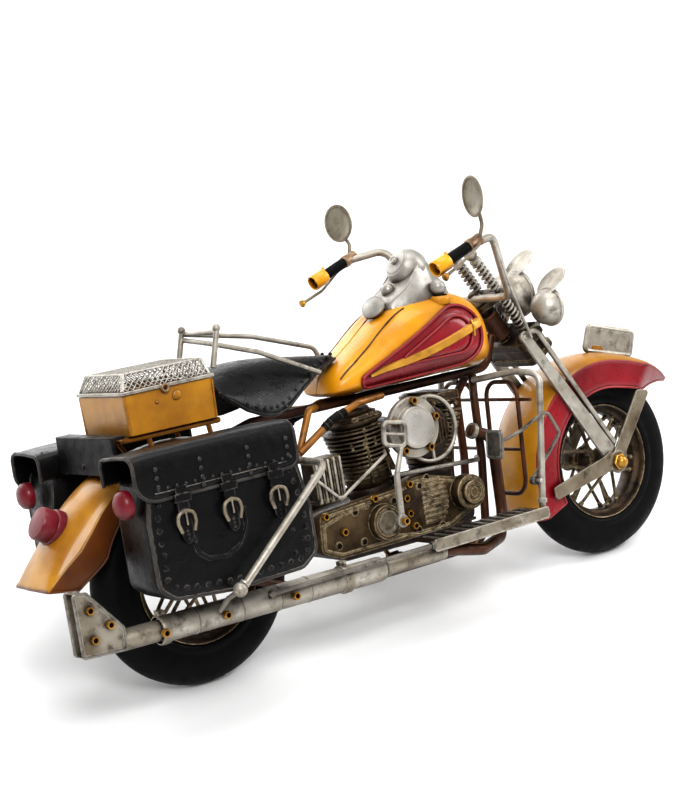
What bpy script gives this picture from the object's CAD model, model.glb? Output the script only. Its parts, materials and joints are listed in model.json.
"""Handmade tin motorcycle leaning on its side stand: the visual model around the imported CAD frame."""
import json
import math
import bpy
import bmesh
from mathutils import Matrix, Vector


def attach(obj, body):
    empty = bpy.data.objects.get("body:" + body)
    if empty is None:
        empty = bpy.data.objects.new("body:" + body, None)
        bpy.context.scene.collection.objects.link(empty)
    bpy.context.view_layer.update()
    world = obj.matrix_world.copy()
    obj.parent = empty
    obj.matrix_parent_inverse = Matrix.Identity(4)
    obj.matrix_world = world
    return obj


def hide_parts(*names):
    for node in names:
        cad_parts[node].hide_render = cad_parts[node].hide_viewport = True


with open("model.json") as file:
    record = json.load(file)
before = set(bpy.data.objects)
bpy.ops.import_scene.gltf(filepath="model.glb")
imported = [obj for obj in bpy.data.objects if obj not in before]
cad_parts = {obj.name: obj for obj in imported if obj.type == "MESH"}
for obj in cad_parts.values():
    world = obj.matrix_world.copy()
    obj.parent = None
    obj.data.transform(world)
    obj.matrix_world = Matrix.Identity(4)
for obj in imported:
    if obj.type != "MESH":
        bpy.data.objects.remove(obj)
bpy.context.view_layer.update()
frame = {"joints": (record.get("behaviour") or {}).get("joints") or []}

# ---------------------------------------------------------------- the leaning stance
# Pieces are drawn in millimetres on the upright bike: x forward, y left, z up,
# with x = y = 0 at the rear axle and z = 0 on the table.
MM = 0.001
LEAN = math.radians(15)
WHEEL_R = 55
WHEELBASE = 280
RAKE = math.radians(33)
TURN = Matrix.Rotation(-LEAN, 4, 'X')
HUB = Vector(next(j for j in frame["joints"] if j["name"] == "rear_wheel_spin")["pos_m"])
PLACE = Matrix.Translation(HUB - TURN @ Vector((0, 0, WHEEL_R * MM))) @ TURN @ Matrix.Scale(MM, 4)

# ---------------------------------------------------------------- camera
CAM_TARGET = Vector((114, 0, 124))
CAM_DISTANCE = 918.9
CAM_AZ, CAM_EL, CAM_ROLL = math.radians(-34.01), math.radians(5.86), math.radians(-9.25)
right = Vector((math.cos(CAM_AZ), math.sin(CAM_AZ), 0))
back = Vector((math.sin(CAM_AZ) * math.cos(CAM_EL), -math.cos(CAM_AZ) * math.cos(CAM_EL), math.sin(CAM_EL)))
up = back.cross(right)
side = right * math.cos(CAM_ROLL) + up * math.sin(CAM_ROLL)
head = up * math.cos(CAM_ROLL) - right * math.sin(CAM_ROLL)
eye = PLACE @ (CAM_TARGET + back * CAM_DISTANCE)
cam = bpy.data.objects.new("camera", bpy.data.cameras.new("camera"))
bpy.context.scene.collection.objects.link(cam)
axes = Matrix((side, head, back)).transposed().to_4x4()
cam.matrix_world = Matrix.Translation(eye) @ TURN @ axes
cam.data.lens = 76.5
cam.data.sensor_width = 36
cam.data.clip_start = 0.01
bpy.context.scene.camera = cam

# ---------------------------------------------------------------- materials
def srgb(r, g, b):
    def lin(c):
        c /= 255
        return c / 12.92 if c <= 0.04045 else ((c + 0.055) / 1.055) ** 2.4
    return (lin(r), lin(g), lin(b), 1)


class Nodes:
    """Small helper around one material's node tree."""

    def __init__(self, name):
        self.mat = bpy.data.materials.new(name)
        self.mat.use_nodes = True
        self.tree = self.mat.node_tree
        self.bsdf = self.tree.nodes["Principled BSDF"]
        self.coord = self.add("ShaderNodeTexCoord").outputs["Object"]

    def add(self, kind, **values):
        n = self.tree.nodes.new(kind)
        for k, v in values.items():
            if hasattr(n, k):
                setattr(n, k, v)
            else:
                n.inputs[k].default_value = v
        return n

    def link(self, a, b):
        self.tree.links.new(a, b)

    def noise(self, scale, detail=4, rough=0.55, stretch=None):
        n = self.add("ShaderNodeTexNoise", Scale=scale, Detail=detail, Roughness=rough)
        source = self.coord
        if stretch:
            m = self.add("ShaderNodeMapping")
            m.inputs["Scale"].default_value = stretch
            self.link(source, m.inputs["Vector"])
            source = m.outputs["Vector"]
        self.link(source, n.inputs["Vector"])
        return n.outputs["Fac"]

    def ramp(self, fac, low, high, a=0.0, b=1.0):
        """Maps low..high of fac to a..b, clamped."""
        n = self.add("ShaderNodeMapRange")
        for k, v in zip(("From Min", "From Max", "To Min", "To Max"), (low, high, a, b)):
            n.inputs[k].default_value = v
        self.link(fac, n.inputs["Value"])
        return n.outputs["Result"]

    def math(self, op, a, b):
        n = self.add("ShaderNodeMath", operation=op)
        for i, v in enumerate((a, b)):
            if isinstance(v, (int, float)):
                n.inputs[i].default_value = v
            else:
                self.link(v, n.inputs[i])
        return n.outputs[0]

    def mix(self, fac, a, b):
        n = self.add("ShaderNodeMix", data_type='RGBA')
        for k, v in ((0, fac), (6, a), (7, b)):
            if isinstance(v, (int, float, tuple)):
                n.inputs[k].default_value = v
            else:
                self.link(v, n.inputs[k])
        return n.outputs[2]

    def cavity(self, distance):
        """1 in the open, falling to 0 in corners and gaps."""
        n = self.add("ShaderNodeAmbientOcclusion", samples=4)
        n.inputs["Distance"].default_value = distance
        return n.outputs["AO"]

    def underside(self, amount):
        """0 on faces that look up or sideways, rising to amount on those that look down."""
        split = self.add("ShaderNodeSeparateXYZ")
        self.link(self.add("ShaderNodeNewGeometry").outputs["Normal"], split.inputs[0])
        return self.ramp(split.outputs["Z"], 0.0, -0.75, 0, amount)

    def edge(self, radius):
        """0 on flat surfaces, rising towards 1 on sharp outer edges."""
        bevel = self.add("ShaderNodeBevel", samples=4)
        bevel.inputs["Radius"].default_value = radius
        geo = self.add("ShaderNodeNewGeometry")
        dot = self.add("ShaderNodeVectorMath", operation='DOT_PRODUCT')
        self.link(bevel.outputs["Normal"], dot.inputs[0])
        self.link(geo.outputs["Normal"], dot.inputs[1])
        return self.ramp(dot.outputs["Value"], 0.985, 0.82)

    def bump(self, height, strength, distance):
        n = self.add("ShaderNodeBump", Strength=strength, Distance=distance)
        self.link(height, n.inputs["Height"])
        self.link(n.outputs["Normal"], self.bsdf.inputs["Normal"])

    def out(self, color=None, rough=None, metal=None):
        for name, v in (("Base Color", color), ("Roughness", rough), ("Metallic", metal)):
            if v is None:
                continue
            if isinstance(v, (int, float, tuple)):
                self.bsdf.inputs[name].default_value = v
            else:
                self.link(v, self.bsdf.inputs[name])
        return self.mat


def enamel(name, light, deep, grime, edge_wear=None, gloss=0.3, blotch=30, coat=0.35):
    """Hand-painted enamel: two tones in soft blotches, brown patina in the corners and along the edges."""
    n = Nodes(name)
    light, deep, grime = srgb(*light), srgb(*deep), srgb(*grime)
    tone = n.ramp(n.noise(blotch, 5), 0.38, 0.66)
    col = n.mix(tone, light, deep)
    streak = n.ramp(n.noise(90, 6, 0.6, (1, 1, 0.35)), 0.50, 0.78, 0, 0.35)
    col = n.mix(streak, col, deep)
    dirt = n.ramp(n.cavity(0.007), 0.88, 0.35)
    patchy = n.ramp(n.noise(160, 5), 0.30, 0.62)
    col = n.mix(n.math('MULTIPLY', dirt, n.ramp(patchy, 0, 1, 0.55, 1.0)), col, grime)
    col = n.mix(n.underside(0.7), col, grime)
    if edge_wear:
        worn = n.math('MULTIPLY', n.edge(0.0012), n.ramp(n.noise(220, 4), 0.35, 0.6))
        col = n.mix(worn, col, srgb(*edge_wear))
    speck = n.ramp(n.noise(900, 2), 0.70, 0.76, 0, 0.55)
    col = n.mix(speck, col, grime)
    rough = n.ramp(n.noise(140, 4), 0.3, 0.7, gloss - 0.05, gloss + 0.14)
    n.bump(n.noise(260, 5), 0.22, 0.0006)
    n.bsdf.inputs["Specular IOR Level"].default_value = 0.35
    n.bsdf.inputs["Coat Weight"].default_value = coat
    n.bsdf.inputs["Coat Roughness"].default_value = 0.14
    return n.out(col, rough, 0.0)


def metal_paint(name, base, dull, grime, metal=0.55, rough=0.4, dirt=0.9, specks=0.6, bump=0.25, wash=0.5,
                glint=None, spec=0.5):
    """Brushed-on metal paint with a brown wash in its corners, dark specks and worn, brighter edges."""
    n = Nodes(name)
    grime = srgb(*grime)
    col = n.mix(n.ramp(n.noise(60, 5), 0.35, 0.68), srgb(*base), srgb(*dull))
    washed = n.ramp(n.noise(130, 6, 0.62), 0.43 if wash > 0.85 else 0.52, 0.70, 0, wash)
    col = n.mix(washed, col, grime)
    corner = n.ramp(n.cavity(0.006), 0.92, 0.38, 0, dirt)
    col = n.mix(corner, col, grime)
    col = n.mix(n.underside(0.6), col, grime)
    if glint:
        rub = n.math('MULTIPLY', n.edge(0.0011), n.ramp(n.noise(350, 3), 0.32, 0.55))
        col = n.mix(rub, col, srgb(*glint))
    speck = n.ramp(n.noise(700, 3), 0.66, 0.72, 0, specks)
    col = n.mix(speck, col, grime)
    r = n.ramp(n.noise(180, 5), 0.3, 0.7, rough - 0.1, rough + 0.16)
    n.bump(n.noise(420, 5, 0.6), bump, 0.0005)
    n.bsdf.inputs["Specular IOR Level"].default_value = spec
    return n.out(col, r, metal)


def leather(name, base, light, rough=0.36, grain=900, scuff=0.35):
    """Worn black leather: fine pebbled grain, soft scuffs and grey rubbed edges."""
    n = Nodes(name)
    col = n.mix(n.ramp(n.noise(70, 5), 0.45, 0.75, 0, scuff), srgb(*base), srgb(*light))
    worn = n.math('MULTIPLY', n.edge(0.0010), n.ramp(n.noise(260, 4), 0.42, 0.6))
    col = n.mix(worn, col, srgb(110, 104, 98))
    vor = n.add("ShaderNodeTexVoronoi", Scale=grain)
    n.link(n.coord, vor.inputs["Vector"])
    height = n.math('ADD', n.math('MULTIPLY', vor.outputs["Distance"], 0.3),
                    n.math('MULTIPLY', n.noise(110, 5), 2.2))
    n.bump(height, 0.42, 0.0009)
    n.bsdf.inputs["Specular IOR Level"].default_value = 0.16
    n.bsdf.inputs["Coat Weight"].default_value = 0.12
    n.bsdf.inputs["Coat Roughness"].default_value = 0.2
    return n.out(col, n.ramp(n.noise(150, 4), 0.3, 0.7, rough - 0.08, rough + 0.14), 0.0)


MAT = {
    "tank": enamel("tank_yellow", (230, 164, 20), (202, 130, 12), (90, 44, 9), coat=0.22),
    "amber": enamel("amber_paint", (186, 130, 22), (146, 94, 14), (66, 34, 10),
                    edge_wear=(96, 48, 16), gloss=0.33),
    "red": enamel("crimson_paint", (140, 12, 28), (104, 8, 20), (44, 6, 10), gloss=0.28, coat=0.25),
    "red_bead": enamel("crimson_bead", (160, 34, 42), (112, 20, 26), (52, 14, 10), gloss=0.34, coat=0.15),
    "gold": metal_paint("gold_stripe", (214, 160, 62), (176, 120, 40), (104, 62, 18), metal=0.45,
                        rough=0.36, specks=0.3),
    "lamp": enamel("lamp_red", (118, 14, 30), (92, 10, 24), (44, 8, 12), gloss=0.42, coat=0.2),
    "amber_dark": enamel("shaded_amber", (104, 56, 16), (70, 36, 12), (34, 18, 8), gloss=0.4, coat=0.1),
    "silver": metal_paint("silver_paint", (186, 180, 170), (140, 132, 118), (44, 31, 21),
                          glint=(222, 218, 210), wash=0.7),
    "white_silver": metal_paint("pale_silver_paint", (180, 177, 171), (150, 145, 137), (66, 50, 34),
                                metal=0.4, rough=0.34, wash=0.25, specks=0.25, bump=0.15),
    "old_silver": metal_paint("browned_silver_paint", (142, 132, 114), (100, 86, 68), (42, 29, 18),
                              glint=(180, 172, 158), wash=0.8),
    "mirror": metal_paint("dulled_mirror_paint", (150, 144, 128), (122, 114, 98), (70, 56, 40), metal=0.6,
                          rough=0.36, wash=0.5, specks=0.2, bump=0.1),
    "steel": metal_paint("grey_steel_paint", (132, 126, 118), (90, 84, 76), (34, 26, 20),
                         glint=(186, 180, 172), wash=0.85, specks=0.8),
    "burnt": metal_paint("burnt_silver_paint", (168, 160, 146), (118, 106, 88), (20, 13, 10),
                         glint=(190, 184, 174), wash=0.85, specks=0.9, bump=0.35, dirt=1.0),
    "bronze": metal_paint("dry_brushed_bronze", (84, 66, 46), (44, 31, 20), (12, 8, 6), metal=0.5,
                          rough=0.42, wash=1.0, bump=0.5, glint=(196, 176, 140), spec=0.35),
    "case": metal_paint("gearcase_bronze", (98, 80, 56), (52, 38, 24), (10, 7, 5), metal=0.5,
                        rough=0.42, wash=0.8, bump=0.5, glint=(214, 196, 160), spec=0.35),
    "dark": metal_paint("dark_bronze", (46, 32, 22), (27, 18, 13), (9, 6, 5), metal=0.3,
                        rough=0.46, wash=0.8, bump=0.4, glint=(112, 92, 66), spec=0.3),
    "tube": metal_paint("brown_tube_paint", (84, 46, 20), (52, 28, 13), (20, 12, 7), metal=0.2,
                        rough=0.42, wash=0.7, glint=(128, 84, 42), spec=0.35),
    "gold_tube": metal_paint("amber_tube_paint", (172, 114, 30), (118, 70, 18), (48, 27, 10),
                             metal=0.1, rough=0.36, wash=0.6),
    "copper": metal_paint("worn_copper_paint", (150, 128, 102), (128, 86, 54), (54, 34, 20), metal=0.45,
                          rough=0.38, wash=0.7, glint=(190, 170, 140)),
    "brass": metal_paint("aged_brass", (200, 152, 68), (156, 108, 40), (48, 29, 12), metal=0.75,
                         rough=0.34, specks=0.3, wash=0.4),
    "black": metal_paint("black_tin", (16, 15, 16), (10, 9, 10), (5, 4, 4), metal=0.0, rough=0.36,
                         wash=0.3, specks=0.2, bump=0.22, glint=(84, 74, 66), spec=0.12),
    "piping": metal_paint("rubbed_piping", (30, 28, 28), (62, 58, 55), (14, 12, 12), metal=0.1,
                          rough=0.4, wash=0.8, specks=0.4, glint=(140, 134, 126), spec=0.25),
    "rivet": metal_paint("rubbed_rivets", (34, 32, 31), (18, 17, 17), (10, 9, 9), metal=0.1,
                         rough=0.36, wash=0.6, specks=0.3),
    "case_light": metal_paint("rubbed_gold_bronze", (150, 122, 76), (110, 82, 46), (34, 22, 12), metal=0.55,
                              rough=0.36, wash=0.7, bump=0.5, glint=(190, 168, 124)),
    "brass_tube": metal_paint("gold_brown_rods", (158, 112, 48), (116, 78, 30), (44, 26, 12), metal=0.5,
                              rough=0.38, wash=0.6),
    "bore": metal_paint("dark_bore", (20, 12, 8), (12, 8, 6), (5, 4, 3), metal=0.0, rough=0.6, spec=0.15),
    "rubber": metal_paint("black_rubber", (14, 14, 15), (9, 9, 10), (5, 5, 5), metal=0.0,
                          rough=0.5, wash=0.4, specks=0.1, bump=0.12, spec=0.1),
    "seat": leather("worn_leather", (14, 13, 14), (32, 30, 29), rough=0.3),
    "bag": leather("bag_leather", (11, 10, 12), (20, 19, 20), rough=0.34, grain=1400, scuff=0.25),
}
glass = Nodes("lamp_glass")
glass.bump(glass.noise(500, 3), 0.1, 0.0004)
MAT["glass"] = glass.out(glass.mix(glass.ramp(glass.noise(200), 0.3, 0.7), srgb(215, 214, 205),
                                   srgb(180, 176, 160)),
                         glass.ramp(glass.noise(300), 0.3, 0.7, 0.1, 0.25), 0.2)

# ---------------------------------------------------------------- mesh helpers
def V(*p):
    return Vector(p)


def cosd(deg):
    return math.cos(math.radians(deg))


def sind(deg):
    return math.sin(math.radians(deg))


RIGHT = V(0, -1, 0)


def polar(c, r, deg, y=0.0):
    """Point at an angle about a wheel centre c = (x, z)."""
    return V(c[0] + r * cosd(deg), y, c[1] + r * sind(deg))


def rounded(route, bend, closed=False, step=14):
    """A route with its inner corners turned into arcs."""
    pts = [Vector(p) for p in route]
    n = len(pts)
    out = [] if closed else [pts[0]]
    for i in (range(n) if closed else range(1, n - 1)):
        a, b, c = pts[i - 1], pts[i], pts[(i + 1) % n]
        u, v = (b - a).normalized(), (c - b).normalized()
        turn = u.angle(v)
        if turn < 0.02:
            out.append(b)
            continue
        trim = min(bend * math.tan(turn / 2), (b - a).length * 0.48, (c - b).length * 0.48)
        radius = trim / math.tan(turn / 2)
        across = (v - u * u.dot(v)).normalized()
        centre = b - u * trim + across * radius
        count = max(2, int(math.degrees(turn) / step) + 1)
        for k in range(count + 1):
            t = turn * k / count
            out.append(centre - across * radius * math.cos(t) + u * radius * math.sin(t))
    if not closed:
        out.append(pts[-1])
    return out


class Shape:
    """Faces in upright-bike millimetres, each with a material number."""

    def __init__(self):
        self.v, self.f, self.m = [], [], []

    def add(self, verts, faces, mat=0):
        k = len(self.v)
        self.v += [Vector(p) for p in verts]
        self.f += [[i + k for i in f] for f in faces]
        self.m += [mat] * len(faces)
        return self

    def grid(self, rows, mat=0, loop=False, ring=False, cap=False):
        """Quads between rows of points; loop joins each row's ends, ring joins the last row to the first."""
        n, k = len(rows), len(rows[0])
        faces, mats = [], []
        for i in range(n if ring else n - 1):
            for j in range(k if loop else k - 1):
                j2, i2 = (j + 1) % k, (i + 1) % n
                faces.append([i * k + j, i * k + j2, i2 * k + j2, i2 * k + j])
                mats.append(mat[j] if isinstance(mat, (list, tuple)) else mat)
        start = len(self.m)
        self.add([p for r in rows for p in r], faces)
        self.m[start:] = mats
        if cap:
            base = len(self.v) - n * k
            m = mat[0] if isinstance(mat, (list, tuple)) else mat
            self.f += [[base + j for j in reversed(range(k))], [base + (n - 1) * k + j for j in range(k)]]
            self.m += [m, m]
        return self

    def tube(self, route, r, bend=4, seg=12, closed=False, mat=0, flat=1.0):
        """Round rod along a route; flat below 1 squashes it towards the ground plane of its first bend."""
        pts = rounded(route, bend, closed)
        n = len(pts)
        radii = list(r) if isinstance(r, (list, tuple)) else [r] * n
        if len(radii) != n:
            radii = [radii[0] + (radii[-1] - radii[0]) * i / (n - 1) for i in range(n)]
        rows, normal = [], None
        for i in range(n):
            if closed:
                t = (pts[(i + 1) % n] - pts[i - 1]).normalized()
            else:
                t = (pts[min(i + 1, n - 1)] - pts[max(i - 1, 0)]).normalized()
            if normal is None:
                normal = t.cross(V(0, 0, 1) if abs(t.z) < 0.9 else V(0, 1, 0)).normalized()
            normal = (normal - t * normal.dot(t)).normalized()
            b = t.cross(normal)
            rows.append([pts[i] + (normal * math.cos(a) + b * math.sin(a) * flat) * radii[i]
                         for a in (2 * math.pi * k / seg for k in range(seg))])
        if not closed:
            for end, ref, way in ((0, pts[0], pts[0] - pts[1]), (-1, pts[-1], pts[-1] - pts[-2])):
                rr = radii[end]
                tip = [ref + (p - ref) * 0.62 + way.normalized() * rr * 0.3 for p in rows[end]]
                rows = [tip] + rows if end == 0 else rows + [tip]
        return self.grid(rows, mat, loop=True, ring=closed, cap=not closed)

    def lathe(self, profile, at, axis=(0, 0, 1), seg=40, mat=0, closed=False):
        """Profile of (radius, height) pairs turned about an axis through at."""
        turn = Vector(axis).normalized().to_track_quat('Z', 'Y').to_matrix()
        rows = []
        for k in range(seg):
            a = 2 * math.pi * k / seg
            rows.append([Vector(at) + turn @ V(r * math.cos(a), r * math.sin(a), h) for r, h in profile])
        return self.grid(rows, mat, loop=closed, ring=True)

    def slab(self, outline, y0, y1, mat=0):
        """Flat shape drawn in x and z, between two y values."""
        n = len(outline)
        faces = [[i, (i + 1) % n, n + (i + 1) % n, n + i] for i in range(n)]
        faces += [list(reversed(range(n))), list(range(n, 2 * n))]
        return self.add([V(x, y0, z) for x, z in outline] + [V(x, y1, z) for x, z in outline], faces, mat)

    def block(self, lo, hi, mat=0):
        return self.slab([(lo[0], lo[2]), (hi[0], lo[2]), (hi[0], hi[2]), (lo[0], hi[2])], lo[1], hi[1], mat)

    def dome(self, at, axis, r, h, seg=14, mat=0):
        """Low round head, such as a rivet or a rod's ball end."""
        steps = 4
        prof = [(r * math.cos(math.pi / 2 * i / steps),
                 h * math.sin(math.pi / 2 * i / steps)) for i in range(steps)]
        prof = [(r, -0.3)] + prof + [(0.001, h)]
        return self.lathe(prof, at, axis, seg, mat)

    def ball(self, at, r, mat=0, seg=20):
        steps = 10
        prof = [(max(0.001, r * math.sin(math.pi * i / steps)), -r * math.cos(math.pi * i / steps))
                for i in range(steps + 1)]
        return self.lathe(prof, at, (0, 0, 1), seg, mat)

    def moved(self, matrix, start=0):
        for i in range(start, len(self.v)):
            self.v[i] = matrix @ self.v[i]
        return self

    def mirrored(self, start=0, face_start=0):
        """Adds a copy of everything from start on, mirrored to the other side."""
        k, count = len(self.v), len(self.v) - start
        self.v += [V(p.x, -p.y, p.z) for p in self.v[start:k]]
        new = [[i + count for i in reversed(f)] for f in self.f[face_start:]]
        self.m += self.m[face_start:]
        self.f += new
        return self


def round_outline(points, r, closed=True):
    return [(p.x, p.z) for p in rounded([V(x, 0, z) for x, z in points], r, closed, 18)]


def piece(name, shape, body, mats, replaces=(), smooth=38, bevel=0.0, bevel_seg=2, levels=0, thick=0.0,
          rim_mat=None):
    """Makes one object of the visual model and hangs it on its CAD body."""
    me = bpy.data.meshes.new(name)
    me.from_pydata([PLACE @ p for p in shape.v], [], shape.f)
    for m in mats:
        me.materials.append(MAT[m])
    me.polygons.foreach_set("material_index", shape.m)
    bm = bmesh.new()
    bm.from_mesh(me)
    bmesh.ops.remove_doubles(bm, verts=bm.verts, dist=1e-6)
    bmesh.ops.recalc_face_normals(bm, faces=bm.faces)
    bm.to_mesh(me)
    bm.free()
    me.shade_smooth()
    me.set_sharp_from_angle(angle=math.radians(smooth))
    obj = bpy.data.objects.new(name, me)
    bpy.context.scene.collection.objects.link(obj)
    if thick:
        mod = obj.modifiers.new("sheet", 'SOLIDIFY')
        mod.thickness, mod.offset = thick * MM, 0
        if rim_mat is not None:
            mod.material_offset_rim = rim_mat
    if bevel:
        mod = obj.modifiers.new("edges", 'BEVEL')
        mod.width, mod.segments = bevel * MM, bevel_seg
        mod.limit_method, mod.angle_limit = 'ANGLE', math.radians(40)
        mod.use_clamp_overlap = True
    if levels:
        mod = obj.modifiers.new("smooth", 'SUBSURF')
        mod.levels = mod.render_levels = levels
    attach(obj, body)
    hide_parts(*replaces)
    return obj


# ---------------------------------------------------------------- wheels
REAR, FRONT = (0, WHEEL_R), (WHEELBASE, WHEEL_R)
TYRE = [(34.1, 8.4), (34.5, 9.7), (35.8, 10.3), (37.6, 10.2), (38.4, 9.75), (39.4, 9.9), (42, 10.35),
        (45, 10.4), (48, 9.9), (50.6, 8.6), (52.7, 6.5), (54.2, 3.8), (54.9, 1.4)]
RIM = [(34.05, 9.2), (33.5, 9.7), (32.7, 9.3), (32.1, 7.6), (31.5, 5.6), (29.9, 4.9), (29.1, 4.0)]
HUB_SIDE = [(2.1, 7.6), (2.3, 8.4), (3.6, 8.9), (5.0, 8.6), (5.6, 8.1), (8.6, 8.0), (9.1, 7.4), (8.8, 6.6),
            (6.6, 6.2), (5.2, 4.0), (4.8, 1.0)]


def both_ways(half):
    return half + [(r, -y) for r, y in reversed(half)]


def wheel(tag, c):
    body = tag + "_wheel"
    at, axis = V(c[0], 0, c[1]), V(0, 1, 0)
    piece(tag + "_tyre_rubber", Shape().lathe(both_ways(TYRE), at, axis, 96, closed=True), body, ["rubber"],
          [tag + "_tyre"], smooth=60)
    piece(tag + "_rim_ring", Shape().lathe(both_ways(RIM), at, axis, 96, closed=True), body, ["bronze"],
          [tag + "_rim"], smooth=50)
    s = Shape().lathe(both_ways(HUB_SIDE), at, axis, 40, closed=True)
    count = 12
    for face in (1, -1):
        for i in range(count):
            a = i * 360 / count
            swing = 38 if i % 2 == 0 else -38
            start = polar(c, 7.6, a, face * (7.9 if i % 2 else 6.7))
            end = polar(c, 30.4, a + swing, face * 3.0)
            near = start.lerp(end, 0.87)
            s.tube([start, end], 1.0, seg=8)
            s.tube([near, end], [1.4, 1.6], seg=8)
            s.dome(start + V(0, face * 0.5, 0), V(0, face, 0), 1.3, 0.8, 8)
    piece(tag + "_spoke_wires", s, body, ["bronze"], [tag + "_spokes"])


wheel("rear", REAR)
wheel("front", FRONT)


def axle(name, c, reach, plate_y, body):
    s = Shape()
    s.tube([V(c[0], -reach, c[1]), V(c[0], reach, c[1])], 2)
    for face in (1, -1):
        y = face * plate_y
        s.lathe([(2, 0), (5.0, 0), (5.2, 0.4), (5.0, 2.0), (4.2, 2.6), (3.9, 2.6)], V(c[0], y, c[1]),
                V(0, face, 0), 6)
        s.dome(V(c[0], y + face * 2.4, c[1]), V(0, face, 0), 3.9, 3.9, 24)
    piece(name + "_dome_nuts", s, body, ["brass"], [name], bevel=0.3)


axle("front_axle", FRONT, 24, 22.4, "steering")
axle("rear_axle", REAR, 23, 20.9, "chassis")


# ---------------------------------------------------------------- fenders
def tail_r(a):
    return WHEEL_R + 15 + (16.5 * ((a - 95) / 75) ** 1.8 if a > 95 else 0)


def nose_r(a):
    return WHEEL_R + 9 + (14 * ((80 - a) / 51) ** 2 if a < 80 else 0)


def fender(name, c, span, section, body, mats, bands, beads, steps=64):
    """Curved sheet fender; section(a) gives (y, radius) pairs of one half, crown to edge."""
    rows = []
    for i in range(steps + 1):
        a = span[0] + (span[1] - span[0]) * i / steps
        half = section(a)
        rows.append([polar(c, r, a, -y) for y, r in reversed(half)]
                    + [polar(c, r, a, y) for y, r in half[1:]])
    s = Shape().grid(rows, bands)
    piece(name + "_sheet", s, body, mats, [name], thick=1.0, smooth=50, levels=1)
    b = Shape()
    n = len(half)
    for k, r, mat, a0, a1 in beads:
        first = int(steps * (a0 - span[0]) / (span[1] - span[0]))
        last = int(steps * (a1 - span[0]) / (span[1] - span[0]))
        part = rows[first:last + 1]
        for j in (n - 1 - k, n - 1 + k):
            b.tube([row[j] for row in part], r, bend=0.1, seg=8, mat=mat)
    for row in (rows[0], rows[-1]):
        b.tube(row, 0.7, bend=0.1, seg=8, mat=beads[0][2])
    piece(name + "_rolled_edges", b, body, mats, smooth=60)


def front_section(a):
    """Domed crown, a bead line and a painted side; everything draws in towards the pointed nose."""
    r = nose_r(a)
    nose = min(1, max(0.0, (a - 29) / 25)) ** 0.62
    drop = 4.6 * min(1, 0.35 + 0.65 * nose) if a > 60 else 2.4 + 2.2 * (a - 29) / 31
    deep = max(2.2, 20 * min(1, max(0.1, (a - 27) / 22)))
    w = 0.6 + 18.0 * nose
    return [(0, r + 0.4), (w * 0.3, r + 0.2), (w * 0.56, r - drop * 0.16), (w * 0.78, r - drop * 0.42),
            (w * 0.92, r - drop * 0.72), (w, r - drop), (w + 0.1, r - drop - (deep - drop) * 0.12),
            (w + 0.1, r - (drop + deep) / 2), (w, r - deep)]


def rear_section(a):
    """Round crown that flattens into a flared tail, a bead line, and a plain skirt below it."""
    r = tail_r(a)
    flare = max(0.0, (a - 150) / 20)
    drop = 6.0 + 4.0 * min(1, max(0, (a - 127) / 20)) if a < 155 else 10.0 - 9.3 * ((a - 155) / 15) ** 1.2
    low = max(drop + 3, r - (56.5 if a < 155 else 56.5 + 13 * ((a - 155) / 15) ** 1.5))
    if a < 100:
        low = 19.5
    soft = 1 - 0.6 * min(1, flare)
    return [(0, r + 0.5), (4.5, r + 0.2), (9.5, r - drop * 0.10 * soft), (13.6, r - drop * 0.30 * soft),
            (16.6, r - drop * 0.60 * soft), (18.2, r - drop), (18.6, r - drop - 0.6),
            (18.5, r - (drop + low) / 2), (17.6, r - low)]


fender("front_fender", FRONT, (29, 201), front_section, "steering", ["amber", "red", "red_bead"],
       [1] * 3 + [0] * 10 + [1] * 3, [(8, 0.8, 2, 29, 201), (5, 0.75, 2, 29, 201)])
fender("rear_fender", REAR, (52, 170), rear_section, "chassis", ["amber", "amber_dark"],
       [1] * 3 + [0] * 10 + [1] * 3, [(8, 0.6, 1, 52, 170), (5, 0.75, 0, 52, 170)])


def stay(s, points, r=1.0):
    s.slab(round_outline(points, r), 21.3, 22.6)


s = Shape()
stay(s, [(276.5, 57), (274, 51), (229, 43), (228, 50.5), (270, 60), (276, 63)], 2)
stay(s, [(277, 60), (302.5, 93.5), (313, 92), (287.5, 60), (286, 50), (276, 50)], 2)
s.lathe([(2.1, 0), (6.6, 0), (6.9, 0.8), (6.4, 1.6), (2.1, 1.6)], V(280, 21.2, 55), V(0, 1, 0), 32)
s.mirrored()
piece("fender_stay_plates", s, "steering", ["old_silver"], ["fender_stays"], bevel=0.35)

s = Shape()
frame_outline = round_outline([(286, 121), (292, 135), (327, 125), (322, 111.5)], 2.5)
s.slab(frame_outline, -0.9, 0.9)
s.tube([V(x, 0, z) for x, z in frame_outline], 1.5, bend=0.5, seg=8, closed=True)
s.slab([(290, 117), (292, 123), (300, 121), (301, 117)], -1, 1, 1)
piece("number_plate_frame", s, "steering", ["silver", "amber"], ["number_plate"], bevel=0.3)

# ---------------------------------------------------------------- fork and steering
HEAD_AXIS = V(-math.sin(RAKE), 0, math.cos(RAKE))
HEAD_AHEAD = V(math.cos(RAKE), 0, math.sin(RAKE))
CROWN = V(232, 0, 130)


def on_head(along, ahead=0.0, y=0.0):
    return CROWN + HEAD_AXIS * along + HEAD_AHEAD * ahead + V(0, y, 0)


def head_slab(s, outline, s0, s1, mat=0):
    """Flat shape drawn in ahead and y, square to the steering axis."""
    n = len(outline)
    verts = [on_head(t, a, y) for t in (s0, s1) for a, y in outline]
    faces = [[i, (i + 1) % n, n + (i + 1) % n, n + i] for i in range(n)]
    faces += [list(reversed(range(n))), list(range(n, 2 * n))]
    s.add(verts, faces, mat)


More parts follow.
